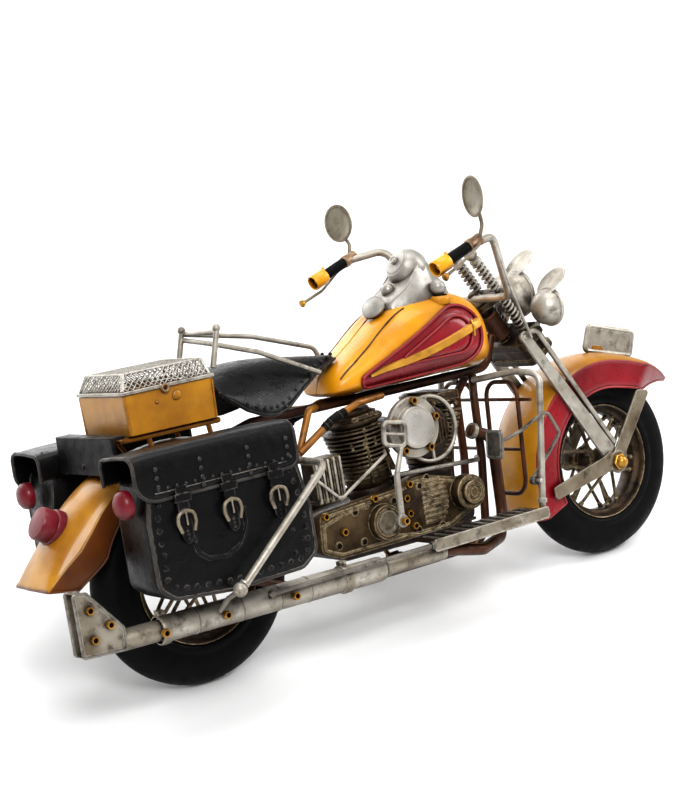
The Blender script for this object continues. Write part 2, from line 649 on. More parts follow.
s = Shape()
s.tube([on_head(-6), on_head(44)], 3, seg=20)
crown = round_outline([(-6, -20.5), (-6, 20.5), (6, 20.5), (15, 18), (15, -18), (6, -20.5)], 5)
head_slab(s, crown, -7, -3)
head_slab(s, crown, 3.4, 9)
head_slab(s, [(a * 0.9 + 0.4, y * 0.93) for a, y in crown], -3.4, 3.8)
yoke = round_outline([(-5, -5), (-5, 5), (8, 12.5), (13, 12.5), (13, -12.5), (8, -12.5)], 3.5)
head_slab(s, yoke, 33, 37)
for y in (-15, 15):
    s.dome(on_head(9, -1, y), HEAD_AXIS, 3, 2.2, 18)
piece("steering_stem_crown", s, "steering", ["bronze"], ["steering_stem"], bevel=0.5)

s = Shape()
for y in (-8, 8):
    s.tube([on_head(9, 10, y), on_head(64, 10, y)], 1.5)
    per = 14
    for s0, s1 in ((11, 31), (38.5, 59)):
        coil = []
        count = int((s1 - s0) / 2.7)
        for k in range(count * per + 1):
            a = 2 * math.pi * k / per
            coil.append(on_head(s0 + (s1 - s0) * k / (count * per), 10 + 2.75 * math.cos(a),
                                y + 2.75 * math.sin(a)))
        s.tube(coil, 0.85, bend=0.01, seg=7)
    s.lathe([(0.1, 0), (3.4, 0), (3.6, 1), (3.2, 1.6), (1.5, 1.8)], on_head(9, 10, y), HEAD_AXIS, 20)
    s.lathe([(0.1, 0), (3.2, 0), (3.5, 0.6), (3.0, 2.2), (1.5, 2.6)], on_head(59, 10, y), HEAD_AXIS, 20)
    s.ball(on_head(65, 10, y), 3.9, 1)
piece("fork_spring_coils", s, "steering", ["silver", "silver"], ["fork_springs"], smooth=60)

s = Shape()
s.tube([V(228, 16, 136), V(233, 20, 143), V(281, 20, 66)], 1.7, 3)
s.slab(round_outline([(221, 139.5), (226, 143), (285, 57), (281, 50), (275, 53)], 2.2), 18.8, 21.2)
s.dome(V(224.5, 21.2, 138.5), V(0, 1, 0), 1.6, 1.0)
s.mirrored()
piece("fork_leg_bars", s, "steering", ["silver"], ["fork_legs"], bevel=0.5)

BAR = [V(208, 33, 164), V(188, 50, 199), V(166, 58, 196.5), V(160, 58.2, 194.5)]
s = Shape()
s.tube([V(p.x, -p.y, p.z) for p in reversed(BAR)] + BAR, 2.2, 9, seg=16)
s.lathe([(0.1, 41.6), (3.6, 41.6), (4.2, 40.6), (4.2, 36.8), (0.1, 36.8)], CROWN, HEAD_AXIS, 24)
k, f = len(s.v), len(s.f)
s.tube([V(187, 51, 198), V(206, 37.5, 168), V(222, 27, 145), V(228, 22.5, 138)], 0.8, 8, seg=8)
s.mirrored(k, f)
piece("handlebar_tube", s, "steering", ["silver"], ["handlebar"])

GRIP_IN, GRIP_OUT = V(166, 58, 196.5), V(140, 57.5, 187)
d = (GRIP_OUT - GRIP_IN).normalized()
s = Shape()
s.lathe([(2.3, -7), (3.3, -7), (3.5, -6.2), (3.2, -5.4), (3.3, -1), (3.6, -0.6), (3.5, 1.6), (2.9, 2)],
        GRIP_IN, d, 28, 1)
s.lathe([(2.9, 1.6), (3.05, 2.4), (3.0, 6), (3.12, 9), (3.0, 13), (3.05, 18.4), (2.6, 19)], GRIP_IN, d, 28, 0)
s.lathe([(2.6, 17.6), (4.2, 17.6), (4.5, 18.2), (4.4, 22), (4.5, 26.9), (4.2, 27.3), (3.6, 27.0), (3.5, 21.5),
         (1.9, 21.2), (1.8, 24.4), (1.3, 24.9), (0.01, 24.9)], GRIP_IN, d, 28, 2)
s.dome(GRIP_IN + d * 18.2 + V(0, 0, 4.2), V(0, 0, 1), 0.9, 1.2, 8, 2)
s.mirrored()
piece("grip_sleeves", s, "steering", ["rubber", "copper", "tank"], ["grips"], smooth=45)

s = Shape()
for face, ball, mid in ((1, V(134.5, 63, 176.8), V(150, 63.5, 182)),
                        (-1, V(143, 62, 182.6), V(155, 63, 188.5))):
    ends = [V(168.5, 62.4, 196), mid, ball]
    s.tube([V(q.x, face * q.y, q.z) for q in ends], [0.75, 0.95], 8, seg=8)
    way = (ends[-1] - ends[-2]).normalized()
    s.lathe([(0.9, -2.2), (1.3, -1.9), (2.1, -0.6), (2.2, 0.5), (1.6, 1.0), (0.01, 1.1)],
            V(ball.x, face * ball.y, ball.z), V(way.x, face * way.y, way.z), 16, 1)
piece("lever_rods", s, "steering", ["old_silver", "brass"], ["levers"])


def oval(width, height, n=36):
    return [(width / 2 * math.cos(2 * math.pi * k / n),
             height / 2 * math.sin(2 * math.pi * k / n)) for k in range(n)]


def dish(s, at, across, upward, width, height, thick, rim, mat=0, face=0):
    """Shallow oval plate: a rolled rim round a face, flat or slightly dished."""
    n = across.cross(upward).normalized()
    out = oval(width, height)
    levels = [(1.0, 0.0), (1.03, thick * 0.5), (1.0, thick), (0.9, thick + rim * 0.2), (0.84, thick - rim),
              (0.4, thick - rim), (0.02, thick - rim)]
    rows = [[at + across * x * k + upward * z * k + n * h for x, z in out] for k, h in levels]
    bands = [mat] * len(out)
    s.grid(rows[:5], bands, loop=True)
    s.grid(rows[4:], face, loop=True)
    s.grid([[at + across * x * k + upward * z * k + n * h for x, z in out]
            for k, h in ((1.0, 0.0), (0.8, -thick * 0.5), (0.02, -thick * 0.8))], bands, loop=True)


s = Shape()
for face, dz in ((1, -2.2), (-1, 0.4)):
    turned = math.radians(11)
    s.tube([V(170.5, face * 60.5, 199), V(173, face * 61.5, 206), V(171, face * 63, 212 + dz),
            V(169, face * 63, 214 + dz)], [1.05, 0.95], 6, seg=10)
    dish(s, V(168.6, face * 63, 221 + dz), V(face * math.sin(turned), -math.cos(turned), 0), V(0, 0, 1),
         21.6, 21.6, 0.9, 0.5, 0, 1)
piece("mirror_discs", s, "steering", ["old_silver", "mirror"], ["mirrors"], smooth=45)


def lamp(s, at, r, depth):
    """Bowl lamp with a raised bezel, a seam ring and a glass front; it faces +x."""
    bowl = [(0.01, -depth), (r * 0.28, -depth * 0.97), (r * 0.55, -depth * 0.86), (r * 0.78, -depth * 0.64),
            (r * 0.92, -depth * 0.38), (r * 0.985, -depth * 0.12), (r, 0.0), (r + 0.7, 0.2), (r + 0.9, 1.2),
            (r + 0.5, 2.3), (r - 0.5, 2.5), (r - 0.7, 1.4)]
    s.lathe(bowl, at, V(1, 0, 0), 44, 0)
    s.lathe([(r - 0.6, 1.5), (r * 0.6, 2.1), (0.01, 2.4)], at, V(1, 0, 0), 44, 1)


def visor(s, at, lift):
    tip = math.radians(48)
    upward = V(math.sin(tip), 0, math.cos(tip))
    dish(s, at + upward * lift, RIGHT, upward, 18.4, 21.6, 0.9, 0.3)


s = Shape()
lamp(s, V(241, 0, 162), 13, 12)
s.tube([on_head(8.5, 12), V(236, 0, 155)], 2)
visor(s, V(240.5, 0, 173.5), 7.5)
piece("headlamp_bowl", s, "steering", ["silver", "glass"], ["headlamp"], smooth=45)
s = Shape()
lamp(s, V(242.5, 24, 153), 10.4, 10)
s.tube([V(238, 19, 145), V(233, 14, 140)], 1.4)
visor(s, V(242, 24, 161.5), 7.5)
s.mirrored()
piece("side_lamp_bowls", s, "steering", ["silver", "glass"], ["aux_lamps"], smooth=45)

# ---------------------------------------------------------------- tank
TANK_TOP = [(93.5, 131.5), (94.5, 135.5), (97.5, 140.5), (103, 144.6), (112, 150), (121, 156), (130, 162.6),
            (138, 167.8),
            (146, 171.3), (155, 173), (168, 173.8), (178, 173.4), (188, 170.6), (196, 166), (202.5, 158.5),
            (205.8, 149.5), (206.6, 142)]
TANK_LOW = [(93.5, 131.2), (95, 129.5), (99, 128.4), (110, 127.6), (134, 127.4), (160, 127.8), (175, 128),
            (190, 127.6), (198, 127.8), (203.5, 130.5), (206.6, 137)]
TANK_WIDE = [(93.5, 9), (95, 14.5), (99, 18), (110, 21), (122, 23.6), (134, 25.8), (145, 27), (160, 27.9),
             (175, 27.9), (188, 26.2), (197, 21.6), (203, 14), (206.6, 5)]


def curve_at(table, x):
    """Smooth value of a table of (x, value) pairs."""
    if x <= table[0][0]:
        return table[0][1]
    for i in range(len(table) - 1):
        (x0, v0), (x1, v1) = table[i], table[i + 1]
        if x0 <= x <= x1:
            before = table[max(i - 1, 0)]
            after = table[min(i + 2, len(table) - 1)]
            t = (x - x0) / (x1 - x0)
            m0 = (v1 - before[1]) / max(x1 - before[0], 1e-6) * (x1 - x0)
            m1 = (after[1] - v0) / max(after[0] - x0, 1e-6) * (x1 - x0)
            return ((2 * t ** 3 - 3 * t ** 2 + 1) * v0 + (t ** 3 - 2 * t ** 2 + t) * m0
                    + (3 * t ** 2 - 2 * t ** 3) * v1 + (t ** 3 - t ** 2) * m1)
    return table[-1][1]


REAR_X, FRONT_X = 93.5, 206.6
SEAM_Y = 16.5


def tank_section(x):
    """Top, middle, bottom and half width of the tank at x."""
    top, low = curve_at(TANK_TOP, x), curve_at(TANK_LOW, x)
    low = min(low, top - 0.6)
    return top, low + (top - low) * 0.38, low, curve_at(TANK_WIDE, x)


def tank_y(x, z):
    """Half width of the tank's surface at a point of its side view."""
    top, mid, low, wide = tank_section(x)
    half = (top - mid) if z > mid else (mid - low)
    t = min(abs(z - mid) / max(half, 0.01), 0.9995)
    return wide * (1 - t ** 2.5) ** (1 / 2.5)


def tank_rows(gap=0.1):
    rows = []
    count, ring = 46, 26
    for i in range(count + 1):
        x = REAR_X + (FRONT_X - REAR_X) * (0.5 - 0.5 * math.cos(math.pi * i / count))
        top, mid, low, wide = tank_section(x)
        row = []
        for k in range(ring + 1):
            a = math.pi * (0.5 - k / ring)
            sn, cs = math.sin(a), math.cos(a)
            z = mid + ((top - mid) if sn > 0 else (mid - low)) * math.copysign(abs(sn) ** 0.8, sn)
            y = max(wide * abs(cs) ** 0.8, gap)
            groove = 0.75 * math.exp(-((y - SEAM_Y) / 0.55) ** 2) if sn > 0 and wide > SEAM_Y + 1.5 else 0
            row.append(V(x, y, z - groove))
        row.append(V(x, gap, low + 0.3))
        row.append(V(x, gap, top - 0.3))
        rows.append(row)
    return rows


def tank_z(x, y):
    """Height of the tank's top at a point of its plan view."""
    top, mid, low, wide = tank_section(x)
    t = min(y / wide, 0.999)
    return mid + (top - mid) * (1 - t ** 2.5) ** (1 / 2.5)


for tag, sign in (("left", 1), ("right", -1)):
    s = Shape().grid([[V(p.x, sign * p.y, p.z) for p in r] for r in tank_rows()], loop=True, cap=True)
    piece("tank_shell_" + tag, s, "chassis", ["tank"], ["tank_" + tag], smooth=50, levels=1)
    seam = [V(x, sign * SEAM_Y, z) for x, z in ((x, tank_z(x, SEAM_Y) + 0.02) for x in range(99, 150, 3))]
    piece("tank_seam_" + tag, Shape().tube(seam, 0.42, bend=0.01, seg=6), "chassis", ["dark"])


def teardrop(tail, nose, r_nose, r_tail, n=18):
    """Outline of a teardrop in x and z, from its tail round its nose."""
    ax = math.atan2(nose[1] - tail[1], nose[0] - tail[0])
    dist = math.hypot(nose[0] - tail[0], nose[1] - tail[1])
    lean_in = math.asin((r_nose - r_tail) / dist)
    pts = []
    for k in range(n + 1):
        a = ax - math.pi / 2 - lean_in + (math.pi + 2 * lean_in) * k / n
        pts.append((nose[0] + r_nose * math.cos(a), nose[1] + r_nose * math.sin(a)))
    for k in range(n // 2 + 1):
        a = ax + math.pi / 2 + lean_in + (math.pi - 2 * lean_in) * k / (n // 2)
        pts.append((tail[0] + r_tail * math.cos(a), tail[1] + r_tail * math.sin(a)))
    return pts


def side_of(points, n):
    """The same outline with n evenly spaced points."""
    loop = points + [points[0]]
    lengths = [0.0]
    for a, b in zip(loop, loop[1:]):
        lengths.append(lengths[-1] + math.hypot(b[0] - a[0], b[1] - a[1]))
    out = []
    for k in range(n):
        t = lengths[-1] * k / n
        i = max(j for j in range(len(lengths) - 1) if lengths[j] <= t)
        f = (t - lengths[i]) / max(lengths[i + 1] - lengths[i], 1e-9)
        out.append((loop[i][0] + (loop[i + 1][0] - loop[i][0]) * f,
                    loop[i][1] + (loop[i + 1][1] - loop[i][1]) * f))
    return out


def on_tank(x, z, proud):
    return V(x, tank_y(x, z) + proud, z)


OUTER = side_of(teardrop((113, 134.2), (173.5, 148.6), 16.4, 3.6), 80)
INNER = side_of(teardrop((137, 141.5), (171.5, 149.2), 10.2, 2.4), 60)
s = Shape()
centre = (160, 146)
for outline, levels, lift in ((OUTER, 9, 0.9), (INNER, 7, 1.5)):
    mid = (sum(p[0] for p in outline) / len(outline), sum(p[1] for p in outline) / len(outline))
    rows = [[on_tank(x, z, -1.0) for x, z in outline]]
    for k in range(levels):
        f = 1 - k / levels
        rows.append([on_tank(mid[0] + (x - mid[0]) * f, mid[1] + (z - mid[1]) * f,
                             lift * min(1, (1 - f) * 9 + 0.25)) for x, z in outline])
    s.grid(rows, 0, loop=True)
s.tube([on_tank(x, z, 0.9) for x, z in OUTER], 1.0, bend=0.01, seg=8, closed=True, mat=1)
s.tube([on_tank(x, z, 1.4) for x, z in INNER], 0.75, bend=0.01, seg=8, closed=True, mat=1)
STRIPE = [(113.5, 136.6, 1.6), (122, 138.6, 3.4), (133, 140.2, 4.6), (148, 142.6, 5.4), (164, 146.4, 5.6),
          (178, 150.2, 5.8), (189.3, 153.4, 6.2)]
rows = []
for k in range(37):
    f = k / 36 * (len(STRIPE) - 1)
    i = min(int(f), len(STRIPE) - 2)
    x, z, w = (a * (1 - f + i) + b * (f - i) for a, b in zip(STRIPE[i], STRIPE[i + 1]))
    rows.append([on_tank(x, z + w * (j / 6 - 0.5), 2.5 if 0 < j < 6 else 1.2) for j in range(7)])
s.grid(rows, 2)
s.tube([on_tank(x, z, 2.6) for x, z in ((181.6, 146.6), (182.8, 151), (181.8, 155.6))], 0.8, bend=2, seg=8,
       mat=2)
s.mirrored()
piece("tank_teardrops", s, "chassis", ["red", "red_bead", "gold"], ["tank_panels"], smooth=50)

# ---------------------------------------------------------------- console, dial and caps
COWL = [  # x, height of the ridge line, half width of the flat top, half width at the foot
    (139.5, 168.9, 5.5, 10.5), (143, 172.2, 9.5, 14.5), (148, 175.3, 10.8, 15.8), (153.7, 178.6, 11.4, 16.4),
    (158, 182.4, 11.4, 16.8),
    (162, 186.6, 11.0, 17), (166, 190.8, 9.6, 17), (169, 193.3, 7.8, 17), (170.6, 193.3, 7.6, 17),
    (173.2, 190, 7.4, 16.8), (177.4, 184, 6.8, 16), (182, 178.4, 5.8, 13.6), (186, 174.6, 4.5, 10)]
rows = []
for x, z, flat, foot in COWL:
    base = min(tank_z(x, foot), z) - 1.2
    half = [(flat * 0.5, z + 0.1), (flat, z - 0.2), (flat + 0.8, z - 1.0),
            ((flat + foot) / 2, (z + base) / 2 - 1.6), (foot, base)]
    rows.append([V(x, -y, h) for y, h in reversed(half)] + [V(x, 0, z + 0.2)] + [V(x, y, h) for y, h in half])
s = Shape().grid(rows)
for side_sign in (1, -1):
    s.tube([V(x, side_sign * (flat + 0.4), z - 0.4) for x, z, flat, foot in COWL], 0.5, bend=3, seg=7)
piece("console_cowl", s, "chassis", ["white_silver"], ["console"], thick=0.9, smooth=28)
DIAL = V(169, 0, 185.2)
dial_axis = V(-sind(53), 0, cosd(53))
s = Shape().lathe([(9.4, 0), (10.8, 0.2), (11.3, 1.2), (11.4, 4.6), (11.2, 6.6), (10.7, 8.6), (9.8, 10.4),
                   (8.9, 11.6), (8.4, 12.2),
                   (7.9, 12.3), (7.4, 12.9), (6.6, 13.2), (0.01, 13.4)], DIAL, dial_axis, 56)
s.lathe([(0.01, 13.2), (2.1, 13.2), (2.3, 14.2), (1.9, 15.0), (1.0, 15.5), (0.01, 15.6)], DIAL, dial_axis, 20)
s.lathe([(1.6, 14.9), (2.5, 15.1), (2.4, 15.7), (1.5, 15.6)], DIAL, dial_axis, 6)
piece("speedometer_dome", s, "chassis", ["white_silver"], ["speedometer"])
s = Shape()
s.ball(V(150.3, 0, 178.4), 3.85, seg=28)
s.lathe([(3.4, -3.9), (3.0, -3.3), (2.0, -2.9)], V(150.3, 0, 178.4), V(-0.6, 0, 0.8), 24)
cap_axis = V(-0.71, -0.3, 0.62).normalized()
s.lathe([(4.4, -6.6), (4.1, -4), (4.0, -0.6), (6.4, -0.2), (6.9, 0.5), (6.9, 1.9), (6.4, 2.5), (6.1, 2.3),
         (5.6, 2.6), (0.01, 2.7)],
        V(136.5, -4, 170), cap_axis, 44)
s.lathe([(6.2, -1.8), (6.1, 0.8), (5.7, 2.0), (4.6, 2.8)], V(171.5, -17, 168.6), V(0, -0.12, 1), 32, 1)
s.ball(V(171.5, -17, 175.5), 4.5, seg=28)
piece("tank_cap_set", s, "chassis", ["white_silver", "tank"], ["tank_caps"])

# ---------------------------------------------------------------- frame tubes
BACKBONE = [V(217.2, 0, 141.8), V(210, 0, 125), V(195, 0, 124.2), V(50, 0, 124.2), V(33, 0, 120)]
DOWN = [V(197, 3, 122), V(192, 8, 112), V(191, 8, 77), V(186, 8, 36), V(174, 13, 29.5), V(70, 13, 29.5),
        V(30, 17.5, 46), V(0, 17.5, 55)]
SEAT_STAY = [V(90, 2, 124.4), V(79, 12, 125), V(66, 15.5, 103), V(30, 19, 78), V(0, 19, 55)]
CROSS_STAY = [V(67, 16.4, 105), V(88, 19.5, 118.5), V(106, 19, 124), V(126, 13, 124.2)]
s = Shape()
s.tube(BACKBONE, 2.6, 8, seg=16)
s.lathe([(3.15, 12), (6, 12), (6.4, 13), (6.0, 14.2), (5.8, 20.5), (6.0, 27), (6.4, 28), (6, 29),
         (3.15, 29)], CROWN,
        HEAD_AXIS, 32)
k, f = len(s.v), len(s.f)
s.tube(DOWN, 2.4, 9)
s.tube(SEAT_STAY, 1.9, 4, mat=1)
s.tube(CROSS_STAY, 2.0, 4, mat=1)
s.tube([V(82.3, 18.7, 114.8), V(88, 19.5, 118.5), V(96.5, 19.3, 121)], 2.4, 4, mat=2)
for p in (V(84, 18.9, 115.9), V(86.4, 19.2, 117.4), V(93, 19.4, 120)):
    s.lathe([(2.3, -0.5), (2.7, 0), (2.3, 0.5)], p, V(21, 3, 11), 16, 2)
s.lathe([(2.05, 15.5), (4.2, 15.5), (4.5, 16.2), (4.5, 20.4), (4.2, 21), (2.05, 21)], V(0, 0, 55),
        V(0, 1, 0), 28)
s.mirrored(k, f)
for x in (175, 72):
    s.tube([V(x, -13, 29.5), V(x, 13, 29.5)], 2.4)
s.tube([V(140, 13, 29.5), V(140, 15.4, 29.5)], 3)
fold = V(0, sind(20), cosd(20))
STAND_PIN = V(140, 20, 27)
s.lathe([(0.01, -4), (1.5, -4), (1.5, 2.2), (3.6, 2.3), (4, 2.7), (4, 4.6), (0.01, 4.6)], STAND_PIN, fold, 24)
piece("frame_tube_work", s, "chassis", ["tube", "gold_tube", "black"], ["frame_tubes"])
foot_z = (58 * math.sin(LEAN) - 10.5 * (1 - math.cos(LEAN))) / math.cos(LEAN)
s = Shape()
s.lathe([(1.55, -1.8), (3.3, -1.8), (3.6, -1.4), (3.6, 1.4), (3.3, 1.8), (1.55, 1.8)], STAND_PIN, fold, 28,
        closed=True)
s.tube([V(140, 23, 26), V(140, 42, 20.3), V(140, 57, foot_z + 2.4)], 1.7, 30)
k = len(s.v)
s.block((-6.8, -4.3, 0.05), (6.8, 4.3, 2.1))
s.moved(Matrix.Translation(V(140, 58, foot_z)) @ Matrix.Rotation(LEAN, 4, 'X'), k)
piece("side_stand_leg", s, "stand", ["silver"], ["side_stand"], bevel=0.5)

# ---------------------------------------------------------------- tail lamps, rack, luggage box
s = Shape()
lamp_dir = V(cosd(149), 0, sind(149))
s.lathe([(0.01, -3), (9.3, -3), (9.4, 1.8), (9.0, 2.7), (8.3, 3.0), (8.3, 9.0), (7.7, 10.0), (5, 10.5),
         (0.01, 10.7)],
        polar(REAR, tail_r(149), 149), lamp_dir, 44)
for y in (54.8, -54.8):
    s.lathe([(0.01, 0), (6.9, 0), (7.0, 2.4), (6.4, 4.2), (4.8, 5.6), (2.6, 6.3), (0.01, 6.5)],
            V(-54, y, 107), V(-1, 0, 0.04), 36)
piece("tail_lamp_lenses", s, "chassis", ["lamp"], ["tail_lamps"])
s = Shape()
s.block((-45.4, -31, 117), (-43.4, 31, 136))
s.block((-45.2, -30.6, 134.2), (-37.4, 30.6, 136))
s.block((-45, -31, 117), (-39.4, 31, 118.6))
s.dome(V(-45.4, 3, 121), V(-1, 0, 0), 1.7, 1.0)
piece("bag_bridge_plate", s, "chassis", ["black"], ["bag_bridge"], bevel=0.6)
s = Shape()
for y in (20, -20):
    s.tube([V(-34, y, 132), V(20, y, 132)], 1.5)
    s.tube([V(-20, y, 132), V(-16, y * 0.8, 122)], 1.3)
    s.tube([V(14, y, 132), V(18, y * 0.8, 119)], 1.3)
for x in (-34, -8, 20):
    s.tube([V(x, -20.4, 132), V(x, 20.4, 132)], 1.5)
piece("rack_rods", s, "chassis", ["gold_tube"], ["rack"])

BOX_Y, RIM_REAR, RIM_FRONT, FLOOR = 24, (-32, 153.4), (18.8, 153.8), 133.8
LID_TILT = math.atan2(RIM_FRONT[1] - RIM_REAR[1], RIM_FRONT[0] - RIM_REAR[0])
LID_LEN = math.hypot(RIM_FRONT[1] - RIM_REAR[1], RIM_FRONT[0] - RIM_REAR[0])
LID = Matrix.Translation(V(RIM_REAR[0], 0, RIM_REAR[1])) @ Matrix.Rotation(-LID_TILT, 4, 'Y')
s = Shape()


def ring4(x0, x1, z0, z1, y):
    return [V(x0, -y, z0), V(x1, -y, z1), V(x1, y, z1), V(x0, y, z0)]


inside = ring4(-30.8, 17.6, 153.3, 153.6, BOX_Y - 1.2)
rows = [ring4(-29.7, 16.2, FLOOR + 1.2, FLOOR + 1.2, BOX_Y - 1.2), inside,
        ring4(-32, 18.8, 153.4, 153.8, BOX_Y),
        ring4(-31, 17.5, FLOOR, FLOOR, BOX_Y)]
s.grid(rows, 0, loop=True)
k = len(s.v) - 16
s.f += [[k, k + 1, k + 2, k + 3], [k + 15, k + 14, k + 13, k + 12]]
s.m += [0, 0]
s.dome(V(-2.5, -24, 149), RIGHT, 2.4, 0.8, 20)
curl = [V(-3.5 + 0.36 * t * math.cos(t), -24.1,
          148.8 + 0.36 * t * math.sin(t)) for t in (0.6 + 0.4 * k for k in range(14))]
s.tube(curl, 0.45, bend=0.01, seg=7)
s.dome(V(-14, -24, 147.5), RIGHT, 0.9, 0.6, 10)
for corner in ((-31.5, -24), (-31.5, 24), (18.2, -24), (18.2, 24)):
    s.tube([V(corner[0] + (0.5 if corner[0] < 0 else -0.7), corner[1], FLOOR + 0.6),
            V(corner[0], corner[1], 153)], 0.6, seg=7)
k = len(s.v)
for x0, pin in ((14.3, 7), (LID_LEN - 20.3, LID_LEN - 15)):
    s.lathe([(0.01, 0), (1.6, 0), (1.8, 0.3), (1.8, 5.7), (1.6, 6), (0.01, 6)], V(x0, BOX_Y + 2.9, 1),
            V(1, 0, 0), 20, 1)
    s.tube([V(pin, BOX_Y + 2.9, 1), V(pin + 8, BOX_Y + 2.9, 1)], 0.72, seg=10, mat=1)
    s.block((x0, BOX_Y - 0.4, -3.4), (x0 + 6, BOX_Y + 2.8, -0.2), 1)
s.moved(LID, k)
piece("luggage_box_shell", s, "chassis", ["amber", "silver"], ["luggage_box"], bevel=0.45)

s = Shape()
frame_in, frame_out = BOX_Y - 1.2, BOX_Y + 0.8
rows = []
for z in (0.3, 2.1):
    rows.append([V(-0.8, -frame_out, z), V(LID_LEN + 0.8, -frame_out, z), V(LID_LEN + 0.8, frame_out, z),
                 V(-0.8, frame_out, z)])
for z in (2.1, 0.3):
    rows.append([V(1.2, -frame_in, z), V(LID_LEN - 1.2, -frame_in, z), V(LID_LEN - 1.2, frame_in, z),
                 V(1.2, frame_in, z)])
s.grid(rows, 0, loop=True, ring=True)
for x0 in (8, LID_LEN - 14):
    s.lathe([(0.82, 0), (1.6, 0), (1.8, 0.3), (1.8, 5.7), (1.6, 6), (0.82, 6)], V(x0, BOX_Y + 2.9, 1),
            V(1, 0, 0), 20, closed=True)
    s.block((x0, BOX_Y + 0.2, 0.3), (x0 + 6, BOX_Y + 1.6, 2.1))
s.moved(LID)
ring_at = V(-9, -BOX_Y - 1.4, 153.6)
s.lathe([(1.7 + 0.7 * math.cos(a), 0.7 * math.sin(a)) for a in (2 * math.pi * k / 10 for k in range(10))],
        ring_at, V(0, 1, 0), 24, 1, closed=True)
piece("box_lid_rim", s, "lid", ["silver", "copper"], ["box_lid"], bevel=0.35)


def clip_line(poly, p, d):
    """Stretch of the line p + t d inside a convex flat polygon of (u, v) pairs."""
    ts = []
    n = len(poly)
    for i in range(n):
        a, b = poly[i], poly[(i + 1) % n]
        e = (b[0] - a[0], b[1] - a[1])
        det = d[0] * -e[1] + d[1] * e[0]
        if abs(det) < 1e-9:
            continue
        w = (a[0] - p[0], a[1] - p[1])
        t = (w[0] * -e[1] + w[1] * e[0]) / det
        u = (d[0] * w[1] - d[1] * w[0]) / det
        if -1e-9 <= u <= 1 + 1e-9:
            ts.append(t)
    return (min(ts), max(ts)) if len(ts) >= 2 and max(ts) - min(ts) > 0.4 else None


def wire_panel(s, corners, pitch, r):
    """Crossed wires over a flat panel, given by its corners in space."""
    o = corners[0]
    u = (corners[1] - o).normalized()
    n = u.cross(corners[-1] - o).normalized()
    v = n.cross(u)
    poly = [((c - o).dot(u), (c - o).dot(v)) for c in corners]
    span = max(abs(a) + abs(b) for a, b in poly)
    for slope, lift in ((1.0, 0.22), (-1.0, -0.22)):
        d = Vector((1, slope)).normalized()
        for k in range(-int(span / pitch) - 2, int(span / pitch) + 3):
            p = (k * pitch * 1.414, 0)
            hit = clip_line(poly, p, d)
            if hit:
                a, b = (o + u * (p[0] + d[0] * t) + v * (p[1] + d[1] * t) + n * lift for t in hit)
                s.tube([a, b], r, seg=5)


x0, x1, y0, z0 = 1.0, LID_LEN - 1.0, BOX_Y - 1.0, 2.2
tx0, tx1, ty, tz = 4.2, LID_LEN - 2.7, BOX_Y - 4.2, 10.1
low = [V(x0, -y0, z0), V(x1, -y0, z0), V(x1, y0, z0), V(x0, y0, z0)]
top = [V(tx0, -ty, tz), V(tx1, -ty, tz), V(tx1, ty, tz), V(tx0, ty, tz)]
s = Shape()
for i in range(4):
    j = (i + 1) % 4
    wire_panel(s, [low[i], low[j], top[j], top[i]], 2.1, 0.34)
    s.tube([top[i], top[j]], 0.55, seg=7)
    s.tube([low[i], top[i]], 0.85, seg=7)
wire_panel(s, top, 1.9, 0.4)
s.moved(LID)
piece("box_mesh_wires", s, "lid", ["silver"], ["box_mesh"])

# ---------------------------------------------------------------- seat
SEAT = [  # x, centre height, then (y, z) from the middle to the edge
    (19.5, 152.5, [(8, 152.3), (17, 150.5), (24, 147.5), (26.5, 145.5)]),
    (24, 155, [(8, 154.8), (17, 152), (25, 146), (28, 141)]),
    (32, 156.5, [(8, 156), (17, 152.5), (25.5, 143), (29.2, 134.5)]),
    (42, 157, [(8, 156.3), (16.5, 152), (25, 140.5), (29.4, 129.8)]),
    (50, 156.8, [(8, 156), (16, 151.2), (24, 139.5), (28.4, 128.8)]),
    (59, 156.2, [(7.4, 155.2), (14.6, 150.4), (21.6, 140), (25.4, 130.6)]),
    (72, 154.6, [(6.2, 153.6), (12, 149.8), (17.4, 142.6), (19.8, 137)]),
    (86, 152.2, [(4.6, 151.6), (8.6, 149.4), (12.2, 145.8), (13.6, 143)]),
    (98, 150.4, [(2.8, 150), (5.2, 149), (7, 147.2), (7.8, 146)]),
    (106.5, 149.4, [(1, 149.3), (1.8, 149), (2.4, 148.6), (2.8, 148.2)])]
rows = []
for x, z, half in SEAT:
    rows.append([V(x, -y, h) for y, h in reversed(half)] + [V(x, 0, z)] + [V(x, y, h) for y, h in half])
s = Shape().grid(rows)
piece("seat_hide", s, "chassis", ["seat"], ["seat"], thick=2.0, levels=3, smooth=180)
s = Shape()
edge = [r[-1] for r in rows]
for side_sign in (1, -1):
    line = [V(p.x, side_sign * (p.y + 0.2), p.z) for p in edge]
    s.tube(line, 0.9, bend=6, seg=8)
    for a, b in zip(line[2:], line[3:]):
        for f in (0.15, 0.65):
            p = a.lerp(b, f)
            s.dome(p + V(0, -side_sign * 0.8, 3.6), V(0, side_sign * 0.9, 0.45), 1.1, 0.8, 10)
piece("seat_edging", s, "chassis", ["seat"], smooth=60, bevel=0.6)

s = Shape()
for y in (18, -18):
    s.tube([V(23.5, y, 158), V(29, y, 176)], 1.5)
    s.ball(V(29, y, 177), 2.1)
s.tube([V(29, -18, 175), V(30, 18, 175)], 1.3)
s.tube([V(27, -18, 169), V(29, 18, 172)], 1.3)
s.tube([V(29, 18, 175), V(70, 18, 167), V(104, 12, 155), V(107, 11, 146)], 1.3, 5)
s.tube([V(27, -18, 169), V(50, -20, 161), V(86, -18, 144)], 1.3, 5)
piece("grab_rail_rods", s, "chassis", ["silver"], ["grab_rails"])

